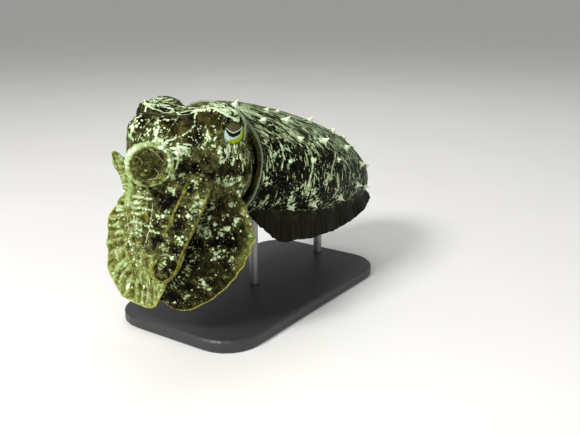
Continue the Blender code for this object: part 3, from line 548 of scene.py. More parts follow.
class Arm:
    """One arm's line, its directions and its sizes at any share of its length."""

    def __init__(self, name, hand, core, thick, inner, keel, facing, wrap=None, knots=None, coil=None,
                 edge=MEMBRANE, leaf=0.0, full=0.34):
        self.name, self.hand = name, hand
        self.core, self.thick, self.inner, self.keel = core, thick, inner, keel
        self.coil, self.facing, self.wrap = coil, unit(facing), wrap
        self.leaf, self.full, self.edge = leaf, full, np.atleast_1d(edge)
        if coil:
            knots = coil_knots(hand=hand, **coil)
        self.line = smooth_path(knots, ARM_LINE_ROWS)
        self.share = np.linspace(0, 1, ARM_LINE_ROWS)
        self.length = np.linalg.norm(np.diff(self.line, axis=0), axis=1).sum()
        self.along = unit(np.gradient(self.line, axis=0))
        outward = self.outward_hints()
        self.out = unit(outward - np.sum(outward * self.along, axis=1)[:, None] * self.along)
        self.side = np.cross(self.out, self.along) * hand

    def outward_hints(self):
        """The way the arm's outer face looks, before it is squared to the arm's line."""
        share = self.share[:, None]
        hints = self.facing[0] * (1 - share) + self.facing[1] * share
        if self.coil:
            wound = np.clip((self.share - 0.10) / 0.12, 0, 1)[:, None]
            hints = hints * (1 - wound) + unit(self.line - np.array(self.coil["centre"])) * wound
        return hints

    def at(self, share):
        """Points, outward directions and directions across at shares of the length."""
        found = [
            np.column_stack([np.interp(share, self.share, column) for column in table.T])
            for table in (self.line, self.out, self.side)
        ]
        return found[0], unit(found[1]), unit(found[2])

    def along_at(self, share):
        """The arm's direction at a share of the length."""
        return unit(np.array([np.interp(share, self.share, column) for column in self.along.T]))

    def edge_at(self, share):
        """Thickness of the arm's margins at shares of its length."""
        return np.interp(share, np.linspace(0, 1, len(self.edge)), self.edge)

    def sizes(self, share):
        """Core half width, thickness, inner and outer reach at shares of the length."""
        taper = 1 - 0.45 * share**1.6
        end = np.sqrt(np.maximum(0.0, 1 - np.maximum(0.0, (share - (1 - TIP_SHARE)) / TIP_SHARE) ** 2))
        end = np.maximum(end, LEAST_WIDTH)
        swell = np.sin(math.pi * np.minimum(1.0, share) ** 0.90) ** 0.6 * np.minimum(1.0, share / self.full)
        swell = np.maximum(swell, LEAST_WIDTH)
        core = (self.core * taper + self.leaf * np.exp(-((share - LEAF_AT) / LEAF_SPREAD) ** 2)) * end
        thick = np.maximum(self.thick * (1 - 0.70 * share) * end, self.edge_at(share) * 1.1)
        return core, thick, core + self.inner * swell * end, core + self.keel * swell * end

    def faces(self, share, e):
        """Distance across and the height of both faces, where e runs from -1 to 1 across the arm."""
        core, thick, inner, outer = self.sizes(share)
        c = np.where(e < 0, -inner, outer) * np.abs(e)
        bulge = np.maximum(0.0, 1 - (c / core) ** 2) ** 0.7
        edge = np.minimum(self.edge_at(share), thick * 0.8) / 2
        from_margin = (1 - np.abs(e)) * np.where(e < 0, inner, outer)
        bead = np.exp(-(from_margin / BEADING_WIDTH - 0.7) ** 2) * BEADING_HEIGHT
        middle = -c * c / (2 * self.wrap) if self.wrap else 0 * c
        if self.keel > BROAD_KEEL:
            rim = np.clip((np.abs(c) - core) / np.where(c < 0, inner - core, outer - core), 0, 1) ** 1.5
            (tall, slow), (low, fast) = BROAD_WAVES
            middle = middle + tall * rim * np.sin(share * slow + self.hand + np.sign(c))
            middle = middle + low * rim * np.sin(share * fast + 2 * self.hand)
            deep, turns = BROAD_SCALLOPS
            c = c + deep * rim * np.sin(share * turns) * np.sign(c) * (1 - share)
        high = middle + edge + bead + (thick - 2 * edge) * 0.62 * bulge
        low = middle - edge - bead - (thick - 2 * edge) * 0.38 * bulge
        return c, high, low

    def grids(self, share, e):
        """Outer and inner face at these shares of the length and places across."""
        point, out, side = self.at(share)
        c, high, low = self.faces(share[:, None], e[None, :])
        base = point[:, None] + side[:, None] * c[..., None]
        return base + out[:, None] * high[..., None], base + out[:, None] * low[..., None]


def add_arm(forms, number, arm):
    """One arm's closed surface."""
    share = np.linspace(0, 1, ARM_ROWS)
    e = np.linspace(-1, 1, ARM_COLUMNS)
    upper, lower = arm.grids(share, e)
    points = np.concatenate([upper.reshape(-1, 3), lower.reshape(-1, 3)])
    along = np.tile(np.repeat(share, ARM_COLUMNS), 2)
    across = np.tile(np.tile(e, ARM_ROWS), 2)
    outer = np.repeat([1.0, -1.0], ARM_ROWS * ARM_COLUMNS)
    forms.add(ARM + number, points, sheet_triangles(ARM_ROWS, ARM_COLUMNS), along, across, outer)


# Skin

def mesh_object(name, points, faces):
    """A smooth mesh object of these points and faces."""
    mesh = bpy.data.meshes.new(name)
    mesh.from_pydata([tuple(p) for p in points], [], [tuple(f) for f in faces])
    mesh.update()
    mesh.shade_smooth()
    made = bpy.data.objects.new(name, mesh)
    bpy.context.scene.collection.objects.link(made)
    return made


def remove(obj):
    """Removes an object and its mesh."""
    mesh = obj.data
    bpy.data.objects.remove(obj)
    bpy.data.meshes.remove(mesh)


def evaluated_mesh(obj):
    """The mesh an object's modifiers make."""
    graph = bpy.context.evaluated_depsgraph_get()
    return bpy.data.meshes.new_from_object(obj.evaluated_get(graph))


def vectors_of(collection, name, width=3):
    """One property of all elements of a mesh as a table."""
    values = np.zeros(len(collection) * width, np.float32 if name != "vertices" else np.int32)
    collection.foreach_get(name, values)
    return values.reshape(-1, width)


def eye_ball(hand, radius, rings=40, sides=64):
    """Points and triangles of an eyeball, its rings round the line of sight."""
    centre, gaze, rear, up = eye_frame(hand)
    tilt = np.linspace(0, math.pi, rings + 2)[1:-1, None, None]
    turn = circle(sides)[None, :, None]
    way = gaze * np.cos(tilt) + (rear * np.cos(turn) + up * np.sin(turn)) * np.sin(tilt)
    points = np.vstack([way.reshape(-1, 3), [gaze], [-gaze]]) * radius + centre
    return points, tube_triangles(rings, sides)


@contextmanager
def opened(mesh):
    """A mesh opened for editing, which is written back afterwards."""
    shell = bmesh.new()
    shell.from_mesh(mesh)
    yield shell
    shell.to_mesh(mesh)
    shell.free()


def face_outwards(mesh):
    """Turns the faces of a closed mesh outwards."""
    with opened(mesh) as shell:
        bmesh.ops.recalc_face_normals(shell, faces=shell.faces)
        if shell.calc_volume(signed=True) < 0:
            bmesh.ops.reverse_faces(shell, faces=shell.faces)


def carve_eyes(points, triangles):
    """The head's surface with a socket cut for each eyeball."""
    head = mesh_object("head_form", points, triangles)
    for hand in (1, -1):
        tool = mesh_object("socket", *eye_ball(hand, EYE_RADIUS + SOCKET_GAP))
        face_outwards(head.data)
        face_outwards(tool.data)
        cut = head.modifiers.new("socket", "BOOLEAN")
        cut.operation, cut.solver, cut.object = "DIFFERENCE", "MANIFOLD", tool
        carved = evaluated_mesh(head)
        head.modifiers.clear()
        whole, head.data = head.data, carved
        bpy.data.meshes.remove(whole)
        remove(tool)
    with opened(head.data) as shell:
        bmesh.ops.triangulate(shell, faces=shell.faces)
    found = vectors_of(head.data.vertices, "co"), vectors_of(head.data.polygons, "vertices")
    remove(head)
    return found


def smooth(points, edges, rounds):
    """Evens out a surface without shrinking it: each step in is followed by a slightly longer one out."""
    a, b = edges.T
    count = len(points)
    degree = np.maximum(np.bincount(edges.ravel(), minlength=count)[:, None], 1)
    for weight in [0.5, -0.53] * rounds:
        total = np.column_stack([
            np.bincount(a, column[b], count) + np.bincount(b, column[a], count) for column in points.T
        ])
        points = points + weight * (total / degree - points)
    return points


def largest_surface(mesh):
    """Drops every closed surface of a mesh but the largest."""
    a, b = vectors_of(mesh.edges, "vertices", 2).T
    label = np.arange(len(mesh.vertices))
    settled = False
    while not settled:
        low = np.minimum(label[a], label[b])
        lower = label.copy()
        np.minimum.at(lower, a, low)
        np.minimum.at(lower, b, low)
        lower = lower[lower]
        lower = lower[lower]
        settled = np.array_equal(lower, label)
        label = lower
    names, counts = np.unique(label, return_counts=True)
    if len(names) == 1:
        return
    keep = label == names[counts.argmax()]
    with opened(mesh) as shell:
        drop = [vert for vert, kept in zip(shell.verts, keep) if not kept]
        bmesh.ops.delete(shell, geom=drop, context="VERTS")


def draw_skin(forms):
    """One surface drawn over all the forms."""
    points, triangles, _, _ = forms.tables()
    rough = mesh_object("rough", points, triangles)
    voxels = rough.modifiers.new("voxels", "REMESH")
    voxels.mode = "VOXEL"
    voxels.voxel_size = VOXEL
    voxels.adaptivity = 0.0
    mesh = evaluated_mesh(rough)
    remove(rough)
    largest_surface(mesh)
    even_out(mesh, SMOOTH_ROUNDS)
    return mesh


def even_out(mesh, rounds):
    """Smooths a mesh and keeps it clear of the eyeballs."""
    edges = vectors_of(mesh.edges, "vertices", 2)
    points = smooth(vectors_of(mesh.vertices, "co").astype(float), edges, rounds)
    mesh.vertices.foreach_set("co", clear_of_eyes(points).ravel())
    mesh.update()


def clear_of_eyes(points):
    """Points with those inside an eyeball moved out to its surface."""
    least = EYE_RADIUS + SKIN_GAP
    for hand in (1, -1):
        centre = eye_frame(hand)[0]
        offset = points - centre
        reach = np.linalg.norm(offset, axis=1, keepdims=True)
        points = np.where(reach < least, centre + offset / reach * least, points)
    return points


def refine(mesh, near):
    """Cuts the faces where near is true into four."""
    with opened(mesh) as shell:
        edges = [edge for edge in shell.edges if near[edge.verts[0].index] and near[edge.verts[1].index]]
        bmesh.ops.subdivide_edges(shell, edges=edges, cuts=1, use_grid_fill=True)


def surface_tree(points, triangles):
    """A tree that finds places on a surface."""
    return BVHTree.FromPolygons([tuple(p) for p in points], triangles.tolist(), all_triangles=True)


def point_tree(points):
    """A tree that finds points by place."""
    tree = kdtree.KDTree(len(points))
    for k, point in enumerate(points.tolist()):
        tree.insert(point, k)
    tree.balance()
    return tree


def notes_on_skin(points, forms):
    """Part of each skin point, and its notes, from the form nearest to it."""
    corners, triangles, notes, parts = forms.tables()
    tree = surface_tree(corners, triangles)
    index = np.zeros(len(points), int)
    place = np.zeros((len(points), 3))
    for k, point in enumerate(points.tolist()):
        found, _, face, _ = tree.find_nearest(point)
        index[k] = face
        place[k] = found
    a, b, c = (corners[triangles[index, k]] for k in range(3))
    whole = np.linalg.norm(np.cross(b - a, c - a), axis=1) + 1e-15
    opposite = ((b, c), (c, a), (a, b))
    weights = [np.linalg.norm(np.cross(p - place, q - place), axis=1) / whole for p, q in opposite]
    mixed = sum(notes[triangles[index, k]] * weights[k][:, None] for k in range(3))
    return parts[index], mixed


# Markings

def camera_axes():
    """The camera's forward, right and upward directions."""
    a, e = CAMERA_AZIMUTH, CAMERA_LOOKS_DOWN
    forward = np.array([-math.sin(a) * math.cos(e), math.cos(a) * math.cos(e), -math.sin(e)])
    right = unit(np.cross(forward, [0, 0, 1]))
    return forward, right, np.cross(right, forward)


def stretches(corners):
    """Start, course and length of each straight stretch of a line of pixels."""
    corners = np.array(corners, float)
    for start, end in zip(corners, corners[1:]):
        yield start, end - start, math.hypot(*(end - start))


SEEN_SIDE, BOTH_SIDES = (1,), (1, -1)
# Distances in pixels between the knobs of a band and between the beads of a line
RUNG_SPACING = 2.7
BEAD_SPACING = 2.6


class Marks:
    """Finds places on the skin by where the photograph shows them, and marks the skin round them."""

    def __init__(self, mesh, points):
        self.surface = surface_tree(points, mesh_triangles(mesh))
        self.tree = point_tree(points)
        self.forward, self.right, self.up = camera_axes()

    def seen(self, x, y):
        """The place on the skin at this pixel of the photograph, or None."""
        dx, dy = x - PHOTO_WIDTH / 2, y - PHOTO_HEIGHT / 2
        way = self.forward + self.right * dx / FOCAL_PIXELS - self.up * dy / FOCAL_PIXELS
        return self.surface.ray_cast(Vector(CAMERA_PLACE), Vector(unit(way)))[0]

    def spot(self, mask, place, radius, value=1.0, soft=0.5, sides=BOTH_SIDES):
        """Raises a mask to a value round a place and, if both sides are asked for, its mirror image."""
        if place is None:
            return
        for side in sides:
            at = (place[0] * side, place[1], place[2])
            for _, index, reach in self.tree.find_range(at, radius * (1 + soft)):
                share = min(1.0, max(0.0, (1 + soft - reach / radius) / (2 * soft)))
                mask[index] = max(mask[index], share * share * (3 - 2 * share) * value)

    def line(self, mask, corners, width, value=1.0, sides=BOTH_SIDES):
        """Raises a mask along a line drawn through pixels of the photograph."""
        for start, course, length in stretches(corners):
            for share in np.linspace(0, 1, max(2, int(length))):
                self.spot(mask, self.seen(*(start + course * share)), width, value, sides=sides)

    def streaks(self, mask, x, y, wide, high, lean, count, length, width):
        """Raises a mask in short lines round a pixel of the photograph, all leaning about one way."""
        chance = np.random.default_rng(int(x * 3 + y))
        for _ in range(count):
            turn, reach = chance.uniform(0, 2 * math.pi), math.sqrt(chance.uniform(0, 1))
            middle = np.array([x + wide * reach * math.cos(turn), y + high * reach * math.sin(turn)])
            way = math.radians(lean + chance.normal(0, 8))
            half = length * chance.uniform(0.25, 0.65) * np.array([math.cos(way), math.sin(way)])
            self.line(mask, [middle - half, middle + half], width * chance.uniform(0.7, 1.2))

    def rungs(self, mask, corners, half, width, value):
        """Raises a mask in short lines across a line drawn through pixels of the photograph."""
        chance = np.random.default_rng(int(corners[0][0] * 5))
        for start, course, length in stretches(corners):
            across = np.array([-course[1], course[0]]) / length
            count = max(1, round(length / RUNG_SPACING))
            for share in (np.arange(count) + 0.5) / count:
                middle = start + course * share + chance.normal(0, 0.5, 2)
                first = middle - across * half * chance.uniform(0.6, 1.2)
                last = middle + across * half * chance.uniform(0.6, 1.2)
                self.line(mask, [first, last], width, value, SEEN_SIDE)

    def beads(self, mask, corners, width):
        """Raises a mask in dots of uneven size along a line drawn through pixels of the photograph."""
        chance = np.random.default_rng(int(corners[0][0]))
        for start, course, length in stretches(corners):
            count = max(1, round(length / BEAD_SPACING))
            for share in (np.arange(count) + chance.uniform(0.2, 0.8, count)) / count:
                place = self.seen(*(start + course * share + chance.normal(0, 0.5, 2)))
                if place is not None:
                    self.spot(mask, place, width * chance.uniform(0.7, 1.3))

    def blotch(self, mask, x, y, radius, value):
        """Raises a mask in an uneven patch round a pixel of the photograph."""
        chance = np.random.default_rng(int(x * 7 + y))
        self.at_pixel(mask, x, y, radius * 0.55, value, 0.9)
        for _ in range(7):
            turn, reach = chance.uniform(0, 2 * math.pi), radius * chance.uniform(0.40, 1.15)
            self.at_pixel(mask, x + reach * math.cos(turn), y + reach * math.sin(turn),
                          radius * chance.uniform(0.15, 0.38), value, 0.9)

    def at_pixel(self, mask, x, y, radius, value, soft):
        """Raises a mask round the place at a pixel of the photograph; the radius is in its pixels."""
        self.spot(mask, self.seen(x, y), radius / PIXELS_IN_METRE, value, soft)


def mesh_triangles(mesh):
    """The triangles of a mesh."""
    mesh.calc_loop_triangles()
    return vectors_of(mesh.loop_triangles, "vertices")


# Pale lines on the head, in pixels of the photograph
RIDGE_LINES = [
    [(138, 105), (143, 104), (149, 107), (156, 112), (165, 114), (174, 113)],
    [(181, 114), (188, 112), (196, 112), (203, 112), (209, 110), (215, 110)],
    [(215, 110), (222, 114), (231, 118), (238, 121)],
]
FINE_LINES = [
    [(199, 114), (196, 121), (193, 128), (187, 133), (180, 138)],
    [(181, 114), (176, 121), (171, 128), (167, 135), (162, 140)],
    [(176, 121), (167, 122), (158, 124), (150, 130), (145, 136)],
    [(155, 117), (150, 121), (145, 126), (141, 134), (138, 141)],
    [(147, 104), (160, 101), (174, 105), (188, 108), (204, 109)],
    [(178, 101), (190, 99), (204, 101), (218, 103), (230, 105)],
    [(190, 104), (205, 106), (220, 106)],
]
# Rows of white beads on the head and the right arms
DOTTED_LINES = [
    FINE_LINES[0], FINE_LINES[2],
    [(200, 108), (212, 105), (224, 103)],
    [(150, 106), (162, 106), (172, 109)],
    [(202, 126), (197, 131), (200, 138)],
    [(206, 124), (208, 132), (207, 141)],
    [(134, 118), (132, 128), (131, 138)],
    [(140, 116), (144, 122), (150, 120)],
    [(127, 206), (127, 222), (129, 240), (133, 255), (138, 268)],
    [(119, 214), (117, 236), (117, 256), (122, 274), (132, 289)],
    [(160, 121), (156, 128), (156, 136)],
    [(214, 126), (216, 134), (214, 142)],
    [(186, 138), (196, 142), (204, 150)],
]
# Pale rear edge of the cheek
CHEEK_LINE = [(243, 143), (247, 149), (250, 156), (251.5, 163), (251.5, 171)]
# Fine pale lines in the web between the arms
WEB_LINES = [
    [(140, 274), (142, 284), (149, 291), (158, 295)],
    [(145, 273), (148, 281), (154, 287), (160, 288)],
    [(135, 277), (138, 289), (146, 297), (154, 299)],
    [(192, 224), (200, 232), (204, 242)],
    [(197, 219), (206, 229), (209, 240)],
    [(190, 232), (197, 240), (199, 249)],
]
# Knobby bands on the left arms: their lines and half widths in pixels
RUNG_LINES = [
    ([(164, 234), (165, 250), (164, 262), (160, 270)], 2.6),
    ([(190, 244), (193, 256), (190, 267), (184, 277), (176, 285), (165, 291)], 4.0),
    ([(203, 214), (204, 226), (208, 238)], 4.0),
]
# Edges of the right arms where they overlap, the painted highlight along one of them, and how far beside them
# the painted shadow of the gap between the arms lies
OVERLAP_LINES = [
    [(124, 203), (124.5, 215), (125.5, 235), (126.5, 250), (129.5, 262), (137, 275)],
    [(130, 192), (129.5, 210), (129.5, 226), (133.5, 241), (143, 249)],
]
OVERLAP_HIGHLIGHT = [(153, 203), (151.5, 215), (149, 230), (146, 241), (143.5, 249)]
OVERLAP_SHADOW_SHIFT = 1.7
# Curled tip of the third left arm: its edge and the dark line inside it
HOOK_EDGE = [(184, 254), (180, 266), (174, 276), (166, 281.5), (158, 282), (152.5, 277), (151, 270),
             (154.5, 264)]
HOOK_LINE = [(157, 265), (154, 270), (155.5, 276), (160, 279.5), (167, 279)]
# Painted shade in the folds of the raised right arm and in front of the eye
LEAF_FOLD_SHADE = [(112, 152.5), (114.5, 160), (118, 168)]
EYE_FOLD_SHADE = [(223.5, 127), (223.2, 131), (224, 135)]
# Edge of the rear lid
LID_EDGE = [(238, 111), (242.5, 116), (245.5, 123), (245.5, 130), (244, 138)]
# Short pale streaks: pixel, half width and half height of the field, the way they lean in degrees,
# how many there are, their length in pixels and their width
STREAKS = [
    (234, 151, 9, 6, 86, 15, 7, 0.00040), (247, 154, 6, 8, 62, 12, 7, 0.00040),
    (228, 159, 8, 6, 105, 9, 5, 0.00045), (223, 107, 12, 4, 24, 12, 8, 0.0005),
    (241, 109, 5, 7, 60, 8, 7, 0.0005), (158, 104, 14, 4, 10, 7, 8, 0.0005),
    (190, 105, 16, 4, 8, 9, 9, 0.0005), (210, 104, 14, 4, 10, 7, 8, 0.0005),
    (166, 141, 10, 6, -35, 12, 7, 0.0005), (182, 150, 10, 5, 20, 14, 6, 0.0006),
]
# Short dark streaks below the eye, given in the same way
DARK_STREAKS = [(235, 149, 9, 5, 84, 11, 5, 0.00036), (247, 154, 6, 7, 62, 9, 5, 0.00036)]
# Rounded lobes of the forehead: pixel, and radius in pixels
LOBES = [
    (150, 113, 10), (140, 118, 8), (187, 124, 11), (211, 121, 11), (188, 140, 8), (168, 119, 6),
    (168, 130, 7),
]
# Pale bars across the second right arm
BARS = [
    [(130, 207), (140, 208), (151, 210)], [(131, 213), (140, 214)], [(131, 222), (139, 223), (148, 226)],
    [(130, 233), (138, 234), (146, 237)], [(132, 228), (143, 231)], [(150, 231), (159, 233)],
    [(131, 243), (139, 246)], [(133, 196), (150, 199)], [(132, 202), (147, 204)],
]
# Folds of the rolled arm where it meets the face
WRAP_LINES = [
    [(158, 140), (166, 146), (172, 154), (173, 164), (169, 175), (163, 184)],
    [(162, 137), (171, 143), (177, 151), (178, 161), (175, 171)],
    [(154, 141), (163, 147), (169, 155), (169.5, 165), (166, 175)],
]
# Cream patches on the head and arms: pixel, and radius in pixels
CREAM_SPOTS = [
    (156, 133, 6.5), (160, 140, 5.5), (152, 142, 4.5), (160, 148, 6), (180, 148, 6), (186, 152, 6.5),
    (178, 155, 5), (190, 156, 3), (207, 135, 3), (210, 140, 2), (205, 143, 2), (212, 146, 3), (198, 147, 2),
    (215, 111, 4), (222, 110, 6), (230, 108, 7), (236, 112, 6), (228, 114, 5), (238, 118, 4), (243, 107, 5),
    (221, 152, 5), (228, 146, 2), (253, 161, 5), (222, 162, 3), (208, 139, 3), (171, 190, 6), (180, 176, 5),
    (170, 175, 4), (196, 182, 5), (200, 204, 8), (194, 211, 7), (188, 216, 5), (206, 213, 5), (213, 208, 5),
    (209, 219, 5), (195, 229, 5), (207, 231, 6), (232, 203, 4), (243, 187, 6), (240, 196, 5), (225, 185, 5),
    (219, 180, 4), (239, 179, 4), (225, 216, 2.5), (235, 220, 4.5), (226, 228, 4.5), (220, 233, 3.5),
    (168, 215, 4), (159, 218, 3), (180, 240, 4), (187, 240, 3), (177, 257, 4), (183, 258, 3),
    (212, 250, 2.5), (219, 246, 1.5), (223, 250, 2), (215, 256, 4), (221, 258, 3), (228, 252, 2),
    (232, 258, 3), (230, 262, 2), (202, 280, 3.5), (205, 285, 3), (209, 289, 2.5), (186, 297, 4),
    (166, 303, 2.5), (139, 192, 4), (147, 193, 4), (142, 198, 4), (250, 212, 3), (252, 221, 2.5),
    (253, 228, 2.5), (251, 236, 3), (246, 200, 3), (172, 176, 4), (184, 174, 3), (225, 180, 3),
    (232, 178, 3), (246, 196, 4),
]
# Rows of the photograph below this one show arms, where cream patches are fainter
ARM_PIXELS = 165
# Dark places on the head and arms: pixel, and radius in pixels
SHADE_SPOTS = [
    (197, 138, 7), (230, 121, 6), (238, 121, 6), (205, 161, 6), (178, 167, 6), (234, 165, 9), (225, 172, 8),
    (245, 172, 6), (250, 167, 6), (195, 168, 6), (165, 205, 8), (178, 212, 6), (180, 225, 8), (160, 224, 6),
    (158, 240, 6), (176, 248, 6), (190, 190, 5), (175, 199, 5), (212, 174, 6), (141, 126, 6), (197, 246, 6),
    (216, 242, 6), (196, 264, 5), (187, 287, 5), (175, 297, 5), (171, 266, 6), (232, 242, 7), (186, 170, 5),
]
# Cream patches on the mantle's side: pixel, and radius in pixels
MANTLE_SPOTS = [
    (315, 138, 6), (322, 140, 5), (328, 140, 5), (313, 145, 5), (311, 153, 4), (314, 160, 4), (309, 185, 6),
    (306, 192, 6), (314, 193, 6), (311, 200, 6), (318, 201, 4), (328, 177, 4), (327, 184, 4), (332, 178, 3),
    (338, 190, 4), (341, 195, 4), (336, 197, 3), (353, 175, 4), (357, 179, 4), (353, 183, 3), (357, 158, 4),
    (362, 162, 4), (341, 147, 4), (346, 148, 4), (331, 131, 4), (291, 197, 5), (289, 203, 5), (294, 205, 4),
    (297, 189, 4), (277, 203, 4), (263, 203, 3), (254, 205, 3), (266, 142, 4), (275, 153, 5), (282, 148, 4),
    (284, 156, 4), (272, 161, 3), (294, 160, 3), (301, 158, 2.5), (267, 178, 3), (267, 184, 2.5),
    (287, 140, 3), (279, 135, 3), (305, 211, 4), (314, 210, 4), (329, 205, 3), (291, 121, 4), (285, 119, 4),
    (311, 121, 4), (265, 119, 4), (318, 118, 3), (350, 165, 3), (343, 160, 2.5), (276, 130, 3),
    (270, 125, 3),
]
# Round white dots on the arms: pixel, and radius in pixels
DOTS = [
    (236.5, 221, 2.6), (227.5, 229, 2.8), (222, 234, 2.4), (217.5, 238, 1.6), (215, 224, 2.2),
    (231, 205, 2.8), (245, 194, 3.0), (238, 192, 2.2), (227.5, 215, 1.8), (223, 220, 1.6),
    (247.5, 216, 1.6), (250.5, 224, 1.4), (200, 227, 2.8), (198, 231.5, 2.0), (210, 217.5, 2.4),
    (213, 249, 1.8), (216.5, 253.5, 2.2), (220, 251.5, 1.6), (224, 251, 1.9), (215, 258.5, 2.0),
    (219, 257.5, 1.7), (227.5, 256, 1.3), (211.5, 260, 1.1), (223, 257, 1.1), (203.5, 283.5, 2.3),
    (209, 289, 1.9), (200, 280, 1.4), (198.5, 287, 1.2), (230, 260, 1.2), (233.5, 265, 1.1),
    (185, 298, 2.0), (171.5, 258, 2.2), (178.5, 238.5, 2.1), (182.5, 237, 1.7), (181.5, 242, 1.7),
    (175.5, 236.5, 1.3), (162.5, 216.5, 2.2), (157.5, 216, 1.8), (173.5, 276.5, 1.3), (233, 238, 1.5),
    (241, 231, 1.3), (226, 270, 1.0), (199, 268, 1.2), (216, 275, 1.0), (192, 290, 1.3), (175, 303, 1.5),
    (236, 248, 1.0), (207, 238, 1.6),
]
# Pale bands on the second right arm, above the left arms and on the mantle's side, and their widths
PALE_LINES = [
    ([(132, 207), (134, 222), (137, 238)], 0.0012),
    ([(226, 186), (234, 183), (240, 179)], 0.0014),
    ([(311, 150), (313, 162), (312, 172), (309, 182)], 0.0013),
    ([(331, 143), (336, 152), (333, 166), (331, 176)], 0.0012),
    ([(341, 156), (347, 163), (351, 172)], 0.0010),
    ([(277, 138), (282, 146), (284, 158), (281, 170)], 0.0010),
    ([(304, 141), (307, 147), (311, 153)], 0.0010),
    ([(320, 186), (318, 178), (315, 174)], 0.0009),
]
# Patch below the eye whose markings run down the cheek: pixel, and radius in pixels
CHEEK_STREAKS = (236, 153, 16)


def beside(lines, shift):
    """Lines moved to the right by a number of pixels."""
    return [[(x + shift, y) for x, y in corners] for corners in lines]


# Lines drawn on the skin: marking, lines, half width, strength and sides
LINE_MARKS = [
    ("white", RIDGE_LINES, 0.0008, 1.0, BOTH_SIDES),
    ("ridge", RIDGE_LINES, 0.0018, 1.0, BOTH_SIDES),
    ("white", FINE_LINES, 0.0005, 0.52, BOTH_SIDES),
    ("ridge", FINE_LINES, 0.0010, 0.5, BOTH_SIDES),
    ("white", [CHEEK_LINE], 0.0007, 0.55, BOTH_SIDES),
    ("grey", [LID_EDGE], 0.0017, 1.0, BOTH_SIDES),
    # Painted shade in the fold in front of the eye
    ("dark", [EYE_FOLD_SHADE], 0.0009, 1.0, BOTH_SIDES),
    ("cream", BARS, 0.0013, 0.72, SEEN_SIDE),
    ("white", BARS, 0.0006, 0.40, SEEN_SIDE),
    ("olive", OVERLAP_LINES, 0.0004, 0.52, SEEN_SIDE),
    ("ridge", OVERLAP_LINES, 0.0010, 0.6, SEEN_SIDE),
    # Painted shadow in the gap beside the overlapping edges
    ("dark", beside(OVERLAP_LINES, OVERLAP_SHADOW_SHIFT), 0.0004, 0.45, SEEN_SIDE),
    # Painted highlight along the overlapping edge of the second right arm
    ("white", [OVERLAP_HIGHLIGHT], 0.0005, 0.62, SEEN_SIDE),
    # Painted shadow beside the highlighted edge
    ("dark", beside([OVERLAP_HIGHLIGHT], -OVERLAP_SHADOW_SHIFT), 0.0004, 0.5, SEEN_SIDE),
    ("cream", WEB_LINES, 0.0006, 0.60, SEEN_SIDE),
    ("olive", [HOOK_EDGE], 0.0011, 1.0, SEEN_SIDE),
    ("ridge", [HOOK_EDGE], 0.0013, 1.0, SEEN_SIDE),
    ("dark", [HOOK_LINE], 0.0008, 0.85, SEEN_SIDE),
    ("ridge", WRAP_LINES, 0.0011, 0.9, SEEN_SIDE),
    ("cream", WRAP_LINES, 0.0009, 0.62, SEEN_SIDE),
    # Painted shade in the fold of the raised right arm
    ("dark", [LEAF_FOLD_SHADE], 0.0006, 0.6, SEEN_SIDE),
]


def mantle_place(points):
    """How far behind the rim points are, their angle round the mantle, and how far out: 1 is its surface."""
    offset = points - RIM_CENTRE
    v = offset @ BODY_AXIS
    rise = offset @ BODY_UP
    half_width, height, depth = mantle_sizes(v)
    up, side = rise / np.where(rise > 0, height, depth), offset[:, 0] / half_width
    return v, np.arctan2(up, side), np.hypot(up, side)


# Papillae of the left side: distance behind the rim, degrees above the side, radius of the foot, height
PAPILLAE = [
    (0.0465, -37, 0.0035, 0.0045), (0.0685, -30, 0.0038, 0.0055), (0.1070, -20, 0.0038, 0.0055),
    (0.1440, -2, 0.0040, 0.0060), (0.1800, -4, 0.0034, 0.0050), (0.0260, 9, 0.0026, 0.0025),
    (0.0515, 13, 0.0028, 0.0035), (0.0905, 18, 0.0026, 0.0030), (0.0135, 48, 0.0032, 0.0045),
    (0.0410, 31, 0.0030, 0.0040), (0.0725, 34, 0.0042, 0.0065), (0.1195, 35, 0.0040, 0.0055),
    (0.1585, 22, 0.0040, 0.0060), (0.1930, 30, 0.0032, 0.0045), (0.1150, 56, 0.0040, 0.0065),
    (0.0355, 50, 0.0040, 0.0070), (0.0760, 60, 0.0042, 0.0080), (0.0275, 64, 0.0030, 0.0045),
    (0.0410, 66, 0.0026, 0.0040), (0.1500, 60, 0.0038, 0.0055), (0.1800, 62, 0.0034, 0.0045),
]
PAPILLA_LEAN = 0.55
# Papillae over each eye: distance to the side, distance to the rear, radius of the foot, height
BROW_PAPILLAE = [(0.033, 0.009, 0.0044, 0.0080), (0.024, 0.016, 0.0030, 0.0045)]
BROW_ABOVE = 0.014
# How far the mantle's streaks run down as they run back
STREAK_SLANT = 0.62
# Heights of the skin's drawn ridges, of the forehead's lobes and of the grain, and the grain's size
RIDGE_HEIGHT = 0.0009
LOBE_HEIGHT = 0.0024
GRAIN_HEIGHT = 0.00022
GRAIN_SIZE = 0.0034


def papilla_sites():
    """Place, normal, radius and height of every papilla on the mantle."""
    found = []
    for v, degrees, radius, height in PAPILLAE:
        left = math.radians(degrees)
        for angle in (left, math.pi - left):
            found.append((mantle_points(v, angle), mantle_normals(np.array([v]), angle)[0], radius, height))
    return found


def brow_sites():
    """Place, normal, radius and height of the papillae over the eyes."""
    found = []
    for hand in (1, -1):
        raised = 1.0 if hand > 0 else 0.35
        for x, y, radius, height in BROW_PAPILLAE:
            way = unit(np.array([hand * x, y, BROW_ABOVE]) - HEAD_CENTRE)
            place = head_surface(way[None])[0]
            found.append((place, unit(np.array([hand * 0.25, 0.1, 1.0])), radius, height * raised))
    return found


